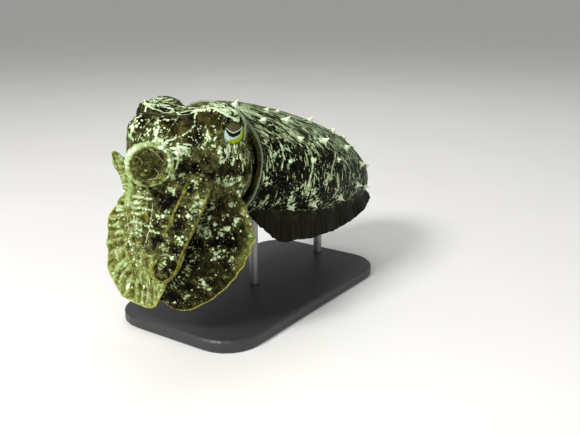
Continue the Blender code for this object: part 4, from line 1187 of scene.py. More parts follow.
def raise_papillae(points, tree, sites, lean):
    """Pulls the skin up into pointed papillae with wide feet; returns how near each point is to one."""
    near = np.zeros(len(points))
    base = points.copy()
    for place, normal, radius, height in sites:
        for _, index, _ in tree.find_range(Vector(place), radius * 1.9):
            offset = base[index] - place
            flat = offset - (offset @ normal) * normal
            share = min(1.0, np.linalg.norm(flat) / (radius * 1.35))
            peak = (1 - share) ** 1.9
            rise = height * peak
            pull = normal * rise + lean * rise * (0.4 + 0.6 * peak) - flat * peak * 0.25
            points[index] = points[index] + pull
            near[index] = max(near[index], 1 - share)
    return near


def skin_points(mesh):
    """The places and normals of a mesh's corners."""
    places = vectors_of(mesh.vertices, "co")
    return places.astype(float), vectors_of(mesh.vertex_normals, "vector").astype(float)


def store(mesh, name, values):
    """Keeps one number or vector at each corner of a mesh."""
    vector = values.ndim == 2
    made = mesh.attributes.new(name, "FLOAT_VECTOR" if vector else "FLOAT", "POINT")
    made.data.foreach_set("vector" if vector else "value", values.astype(np.float32).ravel())


def rough_forms(arms):
    """All the forms of the animal, which overlap."""
    forms = Forms()
    add_mantle(forms)
    add_fins(forms)
    forms.add(HEAD, *carve_eyes(*head_form()))
    add_funnel_and_lips(forms)
    for number, arm in enumerate(arms):
        add_arm(forms, number, arm)
    return forms


def needs_detail(points, sites):
    """Whether each point lies at a papilla, at an eye or on the face."""
    near = (points[:, 1] < 0.018) & (points[:, 2] > -0.040)
    tree = point_tree(points)
    for place, _, radius, _ in sites:
        for _, index, _ in tree.find_range(Vector(place), radius * 1.6):
            near[index] = True
    for hand in (1, -1):
        centre, gaze, _, _ = eye_frame(hand)
        near |= np.linalg.norm(points - centre - gaze * 0.006, axis=1) < 0.0145
    return near


def build_skin(arms):
    """The animal's one skin, with its papillae and markings."""
    forms = rough_forms(arms)
    mesh = draw_skin(forms)
    mantle_sites, head_sites = papilla_sites(), brow_sites()
    refine(mesh, needs_detail(skin_points(mesh)[0], mantle_sites + head_sites))
    even_out(mesh, 1)
    points, normals = skin_points(mesh)
    parts, notes = notes_on_skin(points, forms)
    tree = point_tree(points)
    foot = raise_papillae(points, tree, mantle_sites, BODY_AXIS * PAPILLA_LEAN)
    foot = np.maximum(foot, raise_papillae(points, tree, head_sites, np.zeros(3)))
    masks = skin_masks(points, normals, parts, notes, foot, Marks(mesh, points), arms)
    relief = RIDGE_HEIGHT * masks.pop("ridge") + LOBE_HEIGHT * masks.pop("lobe") + masks.pop("rib")
    points += normals * relief[:, None]
    grain = lumps(points, GRAIN_SIZE, 5, 2) * GRAIN_HEIGHT * (parts != FIN)
    points += normals * grain[:, None]
    mesh.vertices.foreach_set("co", (clear_of_eyes(points) + EYES).ravel())
    mesh.update()
    mesh.shade_smooth()
    for name, values in masks.items():
        store(mesh, name, values)
    skin = bpy.data.objects.new("skin", mesh)
    bpy.context.scene.collection.objects.link(skin)
    return skin


# Of each arm: how light its ground is, how much cream it has, how much of that lies in streaks across it,
# how far its inner margin and its keel margin are coloured, how yellow they are, how warm its colours are,
# how strongly they vary, and the spacing, height and lightness of the ribs across it
ArmLook = namedtuple("ArmLook", "ground cream cross inner keel gold warm contrast spacing height lift")
ARM_LOOKS = {
    "arm_left_1": ArmLook(0.62, 0.26, 0.6, 0.0, 0.0, 0.0, 1.0, 0.34, 0.0040, 0.0003, 0.06),
    "arm_left_2": ArmLook(0.24, 0.25, 0.05, 0.0, 1.0, 0.0, 0.7, 0.22, 0.0058, 0.0003, 0.03),
    "arm_left_3": ArmLook(0.23, 0.25, 0.05, 0.3, 1.0, 0.0, 0.7, 0.22, 0.0044, 0.0004, 0.04),
    "arm_left_4": ArmLook(0.16, 0.20, 0.0, 0.2, 0.8, 0.7, 0.9, 0.16, 0.0066, 0.0005, 0.03),
    "arm_right_1": ArmLook(0.50, 0.28, 0.4, 0.0, 0.0, 0.0, 1.0, 0.26, 0.0050, 0.0002, 0.05),
    "arm_right_2": ArmLook(0.36, 0.22, 0.8, 0.0, 0.7, 0.2, 1.0, 0.34, 0.0064, 0.0005, 0.12),
    "arm_right_3": ArmLook(0.44, 0.24, 0.6, 0.2, 0.9, 0.3, 1.0, 0.34, 0.0056, 0.0005, 0.10),
    "arm_right_4": ArmLook(0.46, 0.22, 0.5, 0.2, 1.0, 1.0, 1.0, 0.30, 0.0060, 0.0009, 0.13),
}


class Masks(dict):
    """How strong each marking is at each point of the skin."""

    def put(self, where, **values):
        """Sets markings where this holds."""
        for name, value in values.items():
            self[name] = np.where(where, value, self[name])

    def add(self, where, **amounts):
        """Adds to markings where this holds."""
        self.put(where, **{name: self[name] + amount for name, amount in amounts.items()})

    def at_least(self, name, values):
        """Raises a marking to these values."""
        self[name] = np.maximum(self[name], values)


def plain_masks(points, normals, parts, notes):
    """The markings of head, funnel and fins, before those of the mantle, the arms and the lines."""
    head, fin, none = parts == HEAD, parts == FIN, np.zeros(len(points))
    names = ("white", "olive", "gold", "group", "dark", "ridge", "lobe", "rib", "cross", "gap", "grey",
             "shade")
    masks = Masks({name: none.copy() for name in names})
    crown = (normals[:, 2] > 0.55) & (points[:, 2] > 0.012)
    top = step(0.45, 0.75, normals[:, 2]) * (head & (points[:, 2] > 0.006))
    masks.update(
        cream=none + 0.16, warm=none + 0.7, ground=0.27 - 0.05 * top, contrast=0.20 + 0.12 * top,
        dots=np.where(head, 0.62, 0.32), long=np.where(crown, 0.7, 0.0),
        fin=fin.astype(float), root=np.where(fin, step(0.55, 0.05, notes[:, 1]), 0.0),
        lie=np.where(crown[:, None], points[:, [1, 0, 2]], points[:, [2, 1, 0]]),
    )
    return masks


def mantle_masks(masks, points, parts, foot):
    """Marks the mantle: streaks along its back, broken bands round its sides, a grey rim, and a bowl whose
    depths are painted black as shade.
    """
    v, angle, out = mantle_place(points)
    sine = np.sin(angle)
    mantle = parts == MANTLE
    from_rim = v + rim_lobe(sine)
    bowl = mantle & (out < 0.972) & (from_rim < 0.034)
    back = step(0.25, 0.62, sine)
    cream = 0.26 + 0.14 * back + 0.16 * lumps(points, 0.016, 9, 2) + 0.30 * step(-0.60, -0.95, sine)
    cream = np.where(points[:, 0] < 0, cream + 0.08 * np.sin(v / 0.0155 * math.pi), cream)
    cream = np.maximum(cream, 0.40 * step(0.0, 0.15, foot) + 0.45 * step(0.10, 0.6, foot))
    midline = step(0.92, 0.995, sine)
    masks.put(mantle, cream=cream * step(0.0010, 0.0070, from_rim), ground=0.03 + 0.12 * back,
              long=back * 0.95 * (1 - midline), cross=(1 - back) * 0.75, contrast=0.17 + 0.13 * back,
              warm=0.15, dots=0.45)
    rim = step(0.0012, 0.0007, from_rim) + 0.6 * step(0.0007, 0.0003, np.abs(from_rim - 0.0026))
    masks.put(mantle & ~bowl, grey=0.75 * rim * step(-0.95, -0.70, sine))
    # The bowl's own colour, and painted shade that turns it black deep inside
    masks.update(gap=bowl.astype(float), dark=bowl * step(0.0170, 0.0320, from_rim))
    folded = np.where(np.abs(angle) > math.pi / 2, np.sign(angle) * math.pi - angle, angle)
    girth = np.where(mantle, folded, angle) * 0.055
    slant = np.where(mantle, STREAK_SLANT, 0.0)
    other_side = np.where(points[:, 0] < 0, 0.05, 0.0)
    lie = np.column_stack([v + 0.3 * slant * girth, girth + slant * v, other_side])
    masks.put((mantle | (parts == FIN))[:, None], lie=lie)


def arm_masks(masks, mine, arm, notes, drift):
    """Marks one arm by the place along and across it: its ground, its ribs and its coloured margins."""
    look = ARM_LOOKS[arm.name]
    along, across, outer = notes.T
    _, _, inner, keel = arm.sizes(along)
    half = np.where(across > 0, keel, inner)
    reach = half * (1 - np.abs(across))
    grown = step(0.06, 0.26, along)
    masks.put(mine[:, None], lie=np.column_stack([along * arm.length, across * half, outer * 0.01]))
    own = dict(ground=look.ground, cream=look.cream, cross=look.cross, long=0.0, warm=look.warm,
               contrast=look.contrast)
    masks.put(mine, **{name: masks[name] * (1 - grown) + value * grown for name, value in own.items()})
    rib = np.sin(2 * math.pi * (along * arm.length / look.spacing + drift)) * grown
    rib = rib * step(0.10, 0.40, np.abs(across)) * step(0.0, 0.0030, reach)
    masks.add(mine, ground=look.lift * rib, cream=look.lift * rib)
    margin = step(0.0018, 0.0009, reach) * step(0.14, 0.42, along)
    strength = np.where(across > 0, look.keel, look.inner)
    masks.put(mine, rib=look.height * rib, olive=margin * strength, gold=look.gold)
    if arm.coil:
        coil_masks(masks, mine, along, outer)
    elif arm.keel > BROAD_KEEL:
        broad_arm_masks(masks, mine, arm, along, across, reach)


def coil_masks(masks, mine, along, outer):
    """The rolled arm has painted shade inside its hollow and a painted highlight along its top, and has few
    dots.
    """
    # Painted shade on the coil's inner face, inside its hollow
    inside = step(-0.2, -0.6, outer) * step(0.16, 0.26, along)
    # Painted highlight along the top of the coil
    top = step(0.42, 0.48, along) * step(0.66, 0.58, along) * step(-0.2, 0.2, outer)
    masks.add(mine, ground=0.12 * top - 0.22 * inside, cream=-0.08 * inside)
    masks.put(mine, dots=0.10)


def broad_arm_masks(masks, mine, arm, along, across, reach):
    """A broad lowest arm has bars across its inner web, and the left one a pale keel margin."""
    web = step(0.35, 0.60, -across) * step(0.06, 0.26, along) * (1.0 if arm.hand < 0 else 0.3)
    masks.put(mine, cross=np.maximum(masks["cross"], 0.85 * web))
    masks.add(mine, cream=0.18 * web)
    if arm.hand > 0:
        pale = step(0.0110, 0.0020, reach) * step(0.16, 0.24, along) * step(0.62, 0.48, along) * (across > 0)
        masks.add(mine, ground=0.24 * pale, cream=0.08 * pale, dots=0.45 * pale)


def draw_lobes(masks, marks):
    """The forehead's lobes: warmer, darker and plainer than the skin round them."""
    for x, y, radius in LOBES:
        marks.at_pixel(masks["lobe"], x, y, radius, 1.0, 0.9)
    lobe = masks["lobe"]
    masks["dots"] *= 1 - 0.80 * lobe
    masks["cream"] -= 0.12 * lobe
    masks["ground"] -= 0.11 * lobe
    masks["contrast"] *= 1 - 0.45 * lobe
    masks["warm"] += (1 - masks["warm"]) * lobe


def draw_spots(masks, marks):
    """Cream patches, white dots and dark places."""
    for x, y, radius in MANTLE_SPOTS:
        marks.blotch(masks["cream"], x, y, radius, 1.0)
    for x, y, radius in CREAM_SPOTS:
        cream, group = (0.76, 0.72) if y >= ARM_PIXELS else (1.0, 1.0)
        marks.blotch(masks["cream"], x, y, radius, cream)
        marks.at_pixel(masks["group"], x, y, 1.7 * radius + 1, group, 0.8)
    for x, y, radius in DOTS:
        marks.at_pixel(masks["white"], x, y, radius, 0.72, 0.8)
    for x, y, radius in SHADE_SPOTS:
        marks.at_pixel(masks["shade"], x, y, radius, 1.0, 0.8)
    masks["ground"] -= 0.20 * masks.pop("shade")


def draw_lines(masks, marks):
    """Lines, rows of beads, knobby bands and streaks."""
    for name, lines, width, value, sides in LINE_MARKS:
        for corners in lines:
            marks.line(masks[name], corners, width, value, sides)
    for corners, width in PALE_LINES:
        marks.line(masks["cream"], corners, width, 0.75)
    for corners in DOTTED_LINES:
        marks.beads(masks["white"], corners, 0.00065)
    for corners, half in RUNG_LINES:
        marks.rungs(masks["cream"], corners, half, 0.0007, 0.66)
    for name, fields in (("white", STREAKS), ("dark", DARK_STREAKS)):
        for field in fields:
            marks.streaks(masks[name], *field)


def skin_masks(points, normals, parts, notes, foot, marks, arms):
    """Where each marking lies, as numbers at each point of the skin."""
    masks = plain_masks(points, normals, parts, notes)
    mantle_masks(masks, points, parts, foot)
    drift = 0.35 * lumps(points, 0.013, 21)
    for number, arm in enumerate(arms):
        arm_masks(masks, parts == ARM + number, arm, notes, drift)
    masks.at_least("cream", np.where(parts == HEAD, 0.9 * step(0.0, 0.4, foot), 0.0))
    masks.at_least("white", 0.8 * step(0.24, 0.65, foot))
    draw_lobes(masks, marks)
    draw_spots(masks, marks)
    draw_lines(masks, marks)
    marks.at_pixel(masks["long"], *CHEEK_STREAKS, 0.85, 0.4)
    return masks


# Materials

def linear(red, green, blue):
    """A colour given as 0 to 255 on a screen, as the renderer counts it."""
    values = np.array([red, green, blue]) / 255
    return (*np.where(values < 0.04045, values / 12.92, ((values + 0.055) / 1.055) ** 2.4), 1.0)


class Nodes:
    """Short ways to build a material's nodes."""

    def __init__(self, name):
        self.material = bpy.data.materials.new(name)
        self.material.use_nodes = True
        self.tree = self.material.node_tree
        self.shader = self.tree.nodes["Principled BSDF"]

    def add(self, kind, inputs, **settings):
        """A node with these settings; an input is a number, a colour or another node's output."""
        made = self.tree.nodes.new("ShaderNode" + kind)
        for key, value in settings.items():
            setattr(made, key, value)
        for key, value in inputs.items():
            self.put(made.inputs[key], value)
        return made

    def put(self, socket, value):
        """Links an output to an input, or sets its value."""
        if isinstance(value, bpy.types.NodeSocket):
            self.tree.links.new(value, socket)
        else:
            socket.default_value = value

    def mask(self, name):
        """A number stored at the mesh's corners."""
        return self.add("Attribute", {}, attribute_name=name).outputs["Fac"]

    def place(self):
        """The place on the object."""
        return self.add("TexCoord", {}).outputs["Object"]

    def surface(self, inputs):
        """The material, once its shader has these inputs."""
        for key, value in inputs.items():
            self.put(self.shader.inputs[key], value)
        return self.material

    def vector(self, name, scale):
        """A vector stored at the mesh's corners, scaled."""
        stored = self.add("Attribute", {}, attribute_name=name).outputs["Vector"]
        return self.add("VectorMath", {0: stored, 1: scale}, operation="MULTIPLY").outputs[0]

    def wavy(self, vector, scale, detail, reach):
        """A vector moved about by noise, so that what is drawn with it wavers."""
        noise = self.add("TexNoise", {"Vector": self.place(), "Scale": scale, "Detail": detail})
        shift = self.add("VectorMath", {0: noise.outputs["Color"], 1: (reach,) * 3}, operation="MULTIPLY")
        return self.add("VectorMath", {0: shift.outputs[0], 1: vector}, operation="ADD").outputs[0]

    def noise(self, vector, scale, detail=3.0, rough=0.55):
        """Noise from 0 to 1."""
        inputs = {"Vector": vector, "Scale": scale, "Detail": detail, "Roughness": rough}
        return self.add("TexNoise", inputs).outputs["Fac"]

    def swing(self, value):
        """Noise from 0 to 1 turned into a wide swing from -1 to 1."""
        inputs = {"Value": value, "From Min": 0.32, "From Max": 0.68, "To Min": -1.0, "To Max": 1.0}
        return self.add("MapRange", inputs).outputs[0]

    def math(self, operation, a, b=0.0, clamp=False):
        """Arithmetic on two numbers."""
        return self.add("Math", {0: a, 1: b}, operation=operation, use_clamp=clamp).outputs[0]

    def sum(self, *terms):
        """The sum of numbers."""
        return reduce(lambda a, b: self.math("ADD", a, b), terms)

    def product(self, *factors):
        """The product of numbers."""
        return reduce(lambda a, b: self.math("MULTIPLY", a, b), factors)

    def rest(self, value, share):
        """What is left of 1 without this share of a value."""
        return self.math("SUBTRACT", 1.0, self.product(value, share))

    def step(self, low, high, value):
        """A smooth rise from 0 to 1."""
        inputs = {"Value": value, "From Min": low, "From Max": high}
        return self.add("MapRange", inputs, interpolation_type="SMOOTHSTEP").outputs[0]

    def spots(self, tone, vector, scale, amount, size, strength, least=0.2):
        """A tone with pale spots on it, in the share of the cells that the amount gives."""
        cells = self.add("TexVoronoi", {"Vector": vector, "Scale": scale, "Randomness": 1.0})
        parts = self.add("SeparateColor", {0: cells.outputs["Color"]})
        chosen = self.math("LESS_THAN", parts.outputs[0], amount)
        limit = self.math("MULTIPLY", self.blend(parts.outputs[1], least, 1.0), size)
        spot = self.step(0.0, 0.14, self.math("SUBTRACT", limit, cells.outputs["Distance"]))
        share = self.product(spot, chosen, strength)
        return self.blend(share, tone, self.blend(parts.outputs[2], 0.62, 1.0))

    def ramp(self, value, stops):
        """Colours along a scale, from stops of a position and a screen colour."""
        made = self.add("ValToRGB", {0: value})
        elements = made.color_ramp.elements
        elements[0].position, elements[1].position = stops[0][0], stops[-1][0]
        elements[0].color, elements[1].color = linear(*stops[0][1]), linear(*stops[-1][1])
        for position, colour in stops[1:-1]:
            elements.new(position).color = linear(*colour)
        return made.outputs["Color"]

    def mix(self, share, a, b):
        """A mix of two colours."""
        return self.add("Mix", {0: share, 6: a, 7: b}, data_type="RGBA").outputs[2]

    def blend(self, share, a, b):
        """A mix of two numbers."""
        return self.add("Mix", {0: share, 2: a, 3: b}, data_type="FLOAT").outputs[0]


# Skin colours from dark to pale: how light each is, and its screen colour
COOL = [
    (0.0, (3, 3, 2)), (0.11, (27, 27, 15)), (0.29, (69, 76, 50)), (0.54, (125, 144, 106)),
    (0.78, (188, 208, 160)), (0.92, (226, 238, 208)), (1.0, (248, 252, 240)),
]
WARM = [
    (0.0, (3, 2, 1)), (0.05, (15, 11, 3)), (0.14, (38, 34, 13)), (0.24, (61, 59, 26)), (0.31, (84, 79, 32)),
    (0.45, (112, 118, 56)), (0.60, (142, 160, 94)), (0.75, (178, 201, 150)), (0.90, (222, 243, 216)),
    (1.0, (250, 252, 240)),
]
OLIVE_EDGE = linear(80, 76, 26), linear(126, 126, 58)
GOLD_EDGE = linear(158, 150, 48), linear(206, 206, 112)
GAP = linear(62, 56, 28), linear(112, 110, 66)
# Painted shade deep inside the bowl behind the mantle's rim
BOWL_SHADE_BLACK = linear(5, 5, 4)
GREY = linear(152, 172, 140)
FIN_BROWN = linear(15, 14, 8), linear(44, 42, 27)
FIN_ROOT = linear(84, 78, 38)
# Dashes: the mask they follow, their fineness along each direction of the skin, and how dense they are
DASHES = [("long", (62.0, 430.0, 430.0), 2.2), ("cross", (400.0, 80.0, 1.0), 1.3),
          ("long", (110.0, 720.0, 720.0), 1.0), ("cross", (720.0, 150.0, 1.0), 0.9)]
# White dots: their fineness, size and strength
DOT_SIZES = [(230.0, 0.30, 0.75), (430.0, 0.32, 0.8), (760.0, 0.36, 0.8)]


def skin_pattern(n, mottle):
    """Mottling that runs lengthwise or crosswise where the markings say so."""
    lengthwise = n.swing(n.noise(n.vector("lie", (62.0, 340.0, 340.0)), 1.0, 3.0, 0.66))
    crosswise = n.swing(n.noise(n.vector("lie", (400.0, 95.0, 1.0)), 1.0, 4.0, 0.68))
    pattern = n.blend(n.mask("long"), mottle, lengthwise)
    return n.blend(n.mask("cross"), pattern, n.sum(n.product(crosswise, 0.7), n.product(mottle, 0.5)))


def skin_ground(n, mottle, fine, wide):
    """The skin's tone with its cream patches, and the share of those."""
    pattern = skin_pattern(n, mottle)
    tone = n.sum(n.mask("ground"), n.product(n.mask("contrast"), pattern), n.product(fine, 0.045),
                 n.product(wide, 0.05))
    cells = n.add("TexVoronoi", {"Vector": n.place(), "Scale": 420.0, "Randomness": 1.0})
    cover = n.sum(n.product(pattern, 0.30), n.mask("cream"), n.product(fine, 0.10),
                  n.product(n.math("SUBTRACT", 0.45, cells.outputs["Distance"]), 0.34))
    patch = n.step(0.42, 0.58, cover)
    pale = n.blend(n.step(0.50, 1.10, cover), 0.52, 0.88)
    pale = n.sum(n.product(mottle, 0.12), n.product(fine, 0.09), pale)
    return n.blend(patch, tone, pale), patch


def skin_dots(n, tone, wide):
    """The tone with pale dashes and round white dots."""
    groups = n.sum(n.product(n.mask("cream"), 0.9), n.product(wide, 0.26))
    for name, scale, density in DASHES:
        amount = n.product(n.mask(name), groups, density)
        tone = n.spots(tone, n.wavy(n.vector("lie", scale), 260.0, 1.0, 0.6), 1.0, amount, 0.62, 0.85, 0.5)
    bent = n.wavy(n.place(), 420.0, 2.0, 0.0016)
    dotted = n.sum(n.product(n.mask("dots"), n.step(0.30, 0.62, n.noise(n.place(), 85.0, 2.0, 0.5))),
                   n.product(n.step(0.20, 0.50, n.mask("cream")), 0.22), n.product(n.mask("group"), 0.85))
    for scale, size, strength in DOT_SIZES:
        tone = n.spots(tone, bent, scale, dotted, size, strength)
    return tone


def skin_lines(n, tone, fine):
    """The tone with broken white lines, darkened where the dark mask lies: dark streaks and lines, and the
    painted shade of folds, of the gaps between arms and deep in the bowl.
    """
    broken = n.sum(n.mask("white"), n.product(fine, 0.22))
    line = n.step(0.25, 0.60, n.product(broken, n.step(0.0, 0.15, n.mask("white"))))
    tone = n.blend(n.product(line, 0.9), tone, n.sum(n.product(fine, 0.12), 0.88))
    # Dark streaks and lines, and painted shade of folds, gaps between arms and the deep bowl
    return n.math("MULTIPLY", tone, n.rest(n.mask("dark"), 0.92), clamp=True)


def skin_colour(n, tone, patch, mottle, fine, wide):
    """The tone in colour, with the arms' margins, the bowl behind the rim with the painted shade deep inside
    it, the grey edges and the fins.
    """
    warm = n.product(n.mask("warm"), n.rest(patch, 0.70))
    colour = n.mix(warm, n.ramp(tone, COOL), n.ramp(tone, WARM))
    grain = n.step(-0.6, 0.6, n.sum(fine, mottle))
    edge = n.mix(n.mask("gold"), n.mix(grain, *OLIVE_EDGE), n.mix(grain, *GOLD_EDGE))
    colour = n.mix(n.step(0.25, 0.75, n.mask("olive")), colour, edge)
    gap = n.mix(n.step(-0.6, 0.6, n.sum(fine, wide)), *GAP)
    # The bowl's colour, painted black as shade where it lies deep
    colour = n.mix(n.mask("gap"), colour, n.mix(n.mask("dark"), gap, BOWL_SHADE_BLACK))
    lid = n.mix(n.step(-0.8, 0.8, fine), n.mix(0.35, GREY, GAP[0]), GREY)
    colour = n.mix(n.step(0.2, 0.8, n.mask("grey")), colour, lid)
    rays = n.noise(n.vector("lie", (900.0, 45.0, 1.0)), 1.0, 2.0, 0.5)
    fin = n.mix(n.step(0.30, 0.80, rays), *FIN_BROWN)
    fin = n.mix(n.product(n.step(-0.4, 1.0, wide), n.mask("root")), fin, FIN_ROOT)
    return n.mix(n.mask("fin"), colour, fin)


def skin_material():
    """Dark brown skin with cream blotches, white dots and olive arm margins."""
    n = Nodes("cuttlefish_skin")
    mottle = n.swing(n.noise(n.place(), 190.0, 6.0, 0.68))
    fine = n.swing(n.noise(n.place(), 640.0, 3.0, 0.6))
    wide = n.swing(n.noise(n.place(), 70.0, 3.0, 0.6))
    tone, patch = skin_ground(n, mottle, fine, wide)
    tone = skin_lines(n, skin_dots(n, tone, wide), fine)
    rough = n.add("MapRange", {"Value": fine, "From Min": -1.0, "From Max": 1.0,
                               "To Min": 0.40, "To Max": 0.58})
    height = n.sum(n.product(fine, 0.30), n.product(tone, 0.9))
    bump = n.add("Bump", {"Strength": 0.6, "Distance": 0.0006, "Height": height})
    return n.surface({
        "Base Color": skin_colour(n, tone, patch, mottle, fine, wide),
        "Roughness": rough.outputs[0],
        "Normal": bump.outputs[0],
        "Specular IOR Level": 0.035,
        "Subsurface Weight": 0.02,
        "Subsurface Radius": (1.0, 0.7, 0.4),
        "Subsurface Scale": 0.0015,
    })


# Eyes

# Edges seen on an eye, in millimetres to the rear and up from its middle: the lower edge of the dark flap,
# the pupil's height under it, and the upper edge of the yellow
FLAP_EDGE = [(-8, 6.5), (-6.2, 4.0), (-4.6, 1.8), (-2, 0.15), (1.3, 0.85), (4.4, 1.9), (8, 3.6)]
PUPIL_HEIGHT = [(-6.9, 0.6), (-6.2, 2.9), (-4.6, 3.3), (-2, 2.9), (1.2, 2.9), (4.4, 2.8), (5.2, 0.6)]
YELLOW_EDGE = [(-7, -5.4), (-4.6, -4.6), (-1.8, -4.3), (1.4, -3.9), (4.1, -2.4), (6.0, 1.6), (8, 4.5)]
EYE_SILVER = linear(140, 168, 152), linear(196, 218, 196)
EYE_YELLOW = linear(100, 134, 6), linear(178, 194, 22)
EYE_BROWN = linear(22, 20, 8), linear(104, 102, 64)
EYE_EDGE = linear(226, 236, 206)
EYE_PUPIL = linear(6, 6, 7)


def build_eye(hand, side):
    """An eyeball with its curved pupil, flap of dark iris and yellow lower edge."""
    points, triangles = eye_ball(hand, EYE_RADIUS, 150, 240)
    centre, _, rear, up = eye_frame(hand)
    offset = points - centre
    r, u = offset @ rear * 1000, offset @ up * 1000
    flap, height, low = (np.interp(r, *np.transpose(edge)) for edge in (FLAP_EDGE, PUPIL_HEIGHT, YELLOW_EDGE))
    pupil = step(0.12, -0.12, np.abs(u - flap + height / 2) - height / 2)
    looks = {
        "pupil": pupil * step(-6.9, -6.5, r) * step(5.3, 4.9, r),
        "brown": step(0.3, 0.8, u - flap),
        "edge": step(0.0, 0.15, u - flap) * step(0.70, 0.35, u - flap),
        "yellow": step(0.25, -0.35, u - low),
        "lie": np.column_stack([r, u, 0 * r]) / 1000,
    }
    eye = mesh_object("eyeball_" + side, points + EYES, triangles)
    for name, values in looks.items():
        store(eye.data, name, values)
    return eye


def eye_material():
    """A glossy eye: silver-green iris, black pupil, brown upper flap and yellow lower edge."""
    n = Nodes("cuttlefish_eye")
    grain = n.noise(n.vector("lie", (500.0, 900.0, 1.0)), 1.0, 4.0, 0.6)
    fine = n.noise(n.vector("lie", (2600.0, 2600.0, 1.0)), 1.0, 2.0, 0.5)
    spotted = n.noise(n.vector("lie", (1300.0, 1300.0, 1.0)), 1.0, 3.0, 0.7)
    colour = n.mix(n.step(0.3, 0.7, grain), *EYE_SILVER)
    colour = n.mix(n.mask("yellow"), colour, n.mix(n.step(0.35, 0.65, grain), *EYE_YELLOW))
    colour = n.mix(n.mask("brown"), colour, n.mix(n.step(0.40, 0.62, spotted), *EYE_BROWN))
    colour = n.mix(n.product(n.mask("edge"), 0.9), colour, EYE_EDGE)
    colour = n.mix(n.mask("pupil"), colour, EYE_PUPIL)
    return n.surface({"Base Color": colour, "Roughness": n.blend(fine, 0.22, 0.38),
                      "Specular IOR Level": 0.06, "Coat Weight": 0.12, "Coat Roughness": 0.03})


# Coil

# Thin ends of skin in the coil: distances ahead of its centre, above it and towards its face
FILAMENTS = [
    [(0.0085, 0.003, -0.003), (0.0096, -0.006, 0.003), (0.007, -0.0105, 0.006), (0.003, -0.0142, 0.0066)],
    [(0.0142, 0.0015, 0.005), (0.011, -0.0008, 0.005), (0.008, 0.001, 0.003), (0.006, -0.002, -0.001)],
    [(0.002, 0.0142, 0.0066), (-0.004, 0.0095, 0.008), (-0.0095, 0.003, 0.0066), (-0.0135, 0.002, 0.005)],
    [(0.001, -0.010, -0.002), (-0.004, -0.0085, 0.002), (-0.006, -0.005, 0.003), (-0.004, -0.002, 0.0)],
    [(0.010, 0.008, 0.004), (0.006, 0.006, 0.003), (0.0045, 0.002, 0.0015), (0.007, 0.000, -0.002)],
]
FILAMENT_RADII = (0.0006, 0.0005, 0.0004, 0.0003)
FILAMENT_ROWS = 40
FILAMENT_SIDES = 10


def joined(name, solids, triangles):
    """One object of many closed surfaces that all have the same triangles."""
    count = len(solids[0])
    faces = [triangles + count * k for k in range(len(solids))]
    return mesh_object(name, np.vstack(solids) + EYES, np.vstack(faces))


def build_filaments(coil):
    """Thin membrane ends that cross the hollow of the rolled arm."""
    facing = unit(coil["facing"])
    ahead = unit(np.cross(facing, [0, 0, 1]))
    up = np.cross(ahead, facing)
    turn = circle(FILAMENT_SIDES)[:, None]
    radii = spread(FILAMENT_RADII, FILAMENT_ROWS)
    solids = []
    for corners in FILAMENTS:
        path = smooth_path(np.array(corners) @ np.array([ahead, up, facing]) + coil["centre"], FILAMENT_ROWS)
        along = unit(np.gradient(path, axis=0))
        first = unit(np.cross(along, facing))
        second = np.cross(along, first)
        rings = [point + radius * (a * np.cos(turn) + b * np.sin(turn))
                 for point, radius, a, b in zip(path, radii, first, second)]
        solids.append(np.vstack([*rings, path[:1], path[-1:]]))
    return joined("coil_filaments", solids, tube_triangles(FILAMENT_ROWS, FILAMENT_SIDES))


# Suckers

# Rings of a cup, from its foot over its lip into its hollow: radius and height, over the cup's radius
SUCKER_RINGS = [
    (0.75, -0.55), (0.72, 0.05), (1.0, 0.50), (0.94, 0.86), (0.74, 0.92), (0.55, 0.55), (0.35, 0.36),
]
SUCKER_FLOOR = 0.34
SUCKER_SIDES = 12
SUCKER_RADIUS = 0.00125
SUCKER_ROWS = (-0.62, -0.21, 0.21, 0.62)
SUCKER_SPACING = 2.6
SUCKER_SHARES = (0.20, 0.965)


def cup(middle, way, radius):
    """The points of one sucker that opens this way."""
    turn = circle(SUCKER_SIDES)[:, None]
    first = unit(np.cross(way, [0.31, 0.52, 0.79]))
    second = np.cross(way, first)
    rings = [middle + way * radius * rise + radius * reach * (first * np.cos(turn) + second * np.sin(turn))
             for reach, rise in SUCKER_RINGS]
    foot, floor = SUCKER_RINGS[0][1], SUCKER_FLOOR
    return np.vstack([*rings, [middle + way * radius * foot], [middle + way * radius * floor]])


def cups_across(arm, share, radius):
    """The suckers at one share of an arm's length, with every second one a little further on."""
    core, _, inner, outer = (size[0] for size in arm.sizes(np.array([share])))
    point, out, side = (found[0] for found in arm.at(np.array([share])))
    for k, place in enumerate(SUCKER_ROWS):
        c = core * place * 0.95
        e = c / (outer if c > 0 else inner)
        low = arm.faces(np.array([[share]]), np.array([[e]]))[2][0, 0]
        shift = arm.along_at(share) * radius * 2.3 * (k % 2) * 0.5
        yield cup(point + side * c + out * low + shift, unit(-out + side * place * 0.35), radius)


def build_suckers(arms):
    """Four rows of cups along the inner face of every arm, as one mesh."""
    cups = []
    for arm in arms:
        share, last = SUCKER_SHARES
        while share < last:
            radius = SUCKER_RADIUS * (1 - 0.62 * share)
            cups.extend(cups_across(arm, share, radius))
            share += radius * SUCKER_SPACING / arm.length
    return joined("suckers", cups, tube_triangles(len(SUCKER_RINGS), SUCKER_SIDES))


# Plain materials

def grained_material(name, scale, dark, light, rough, sharpened=None):
    """A material whose colour and roughness vary with one noise."""
    n = Nodes(name)
    tone = n.noise(n.place(), scale, 3.0, 0.5)
    share = n.step(*sharpened, tone) if sharpened else tone
    return n.surface({"Base Color": n.mix(share, dark, light), "Roughness": n.blend(tone, *rough)})


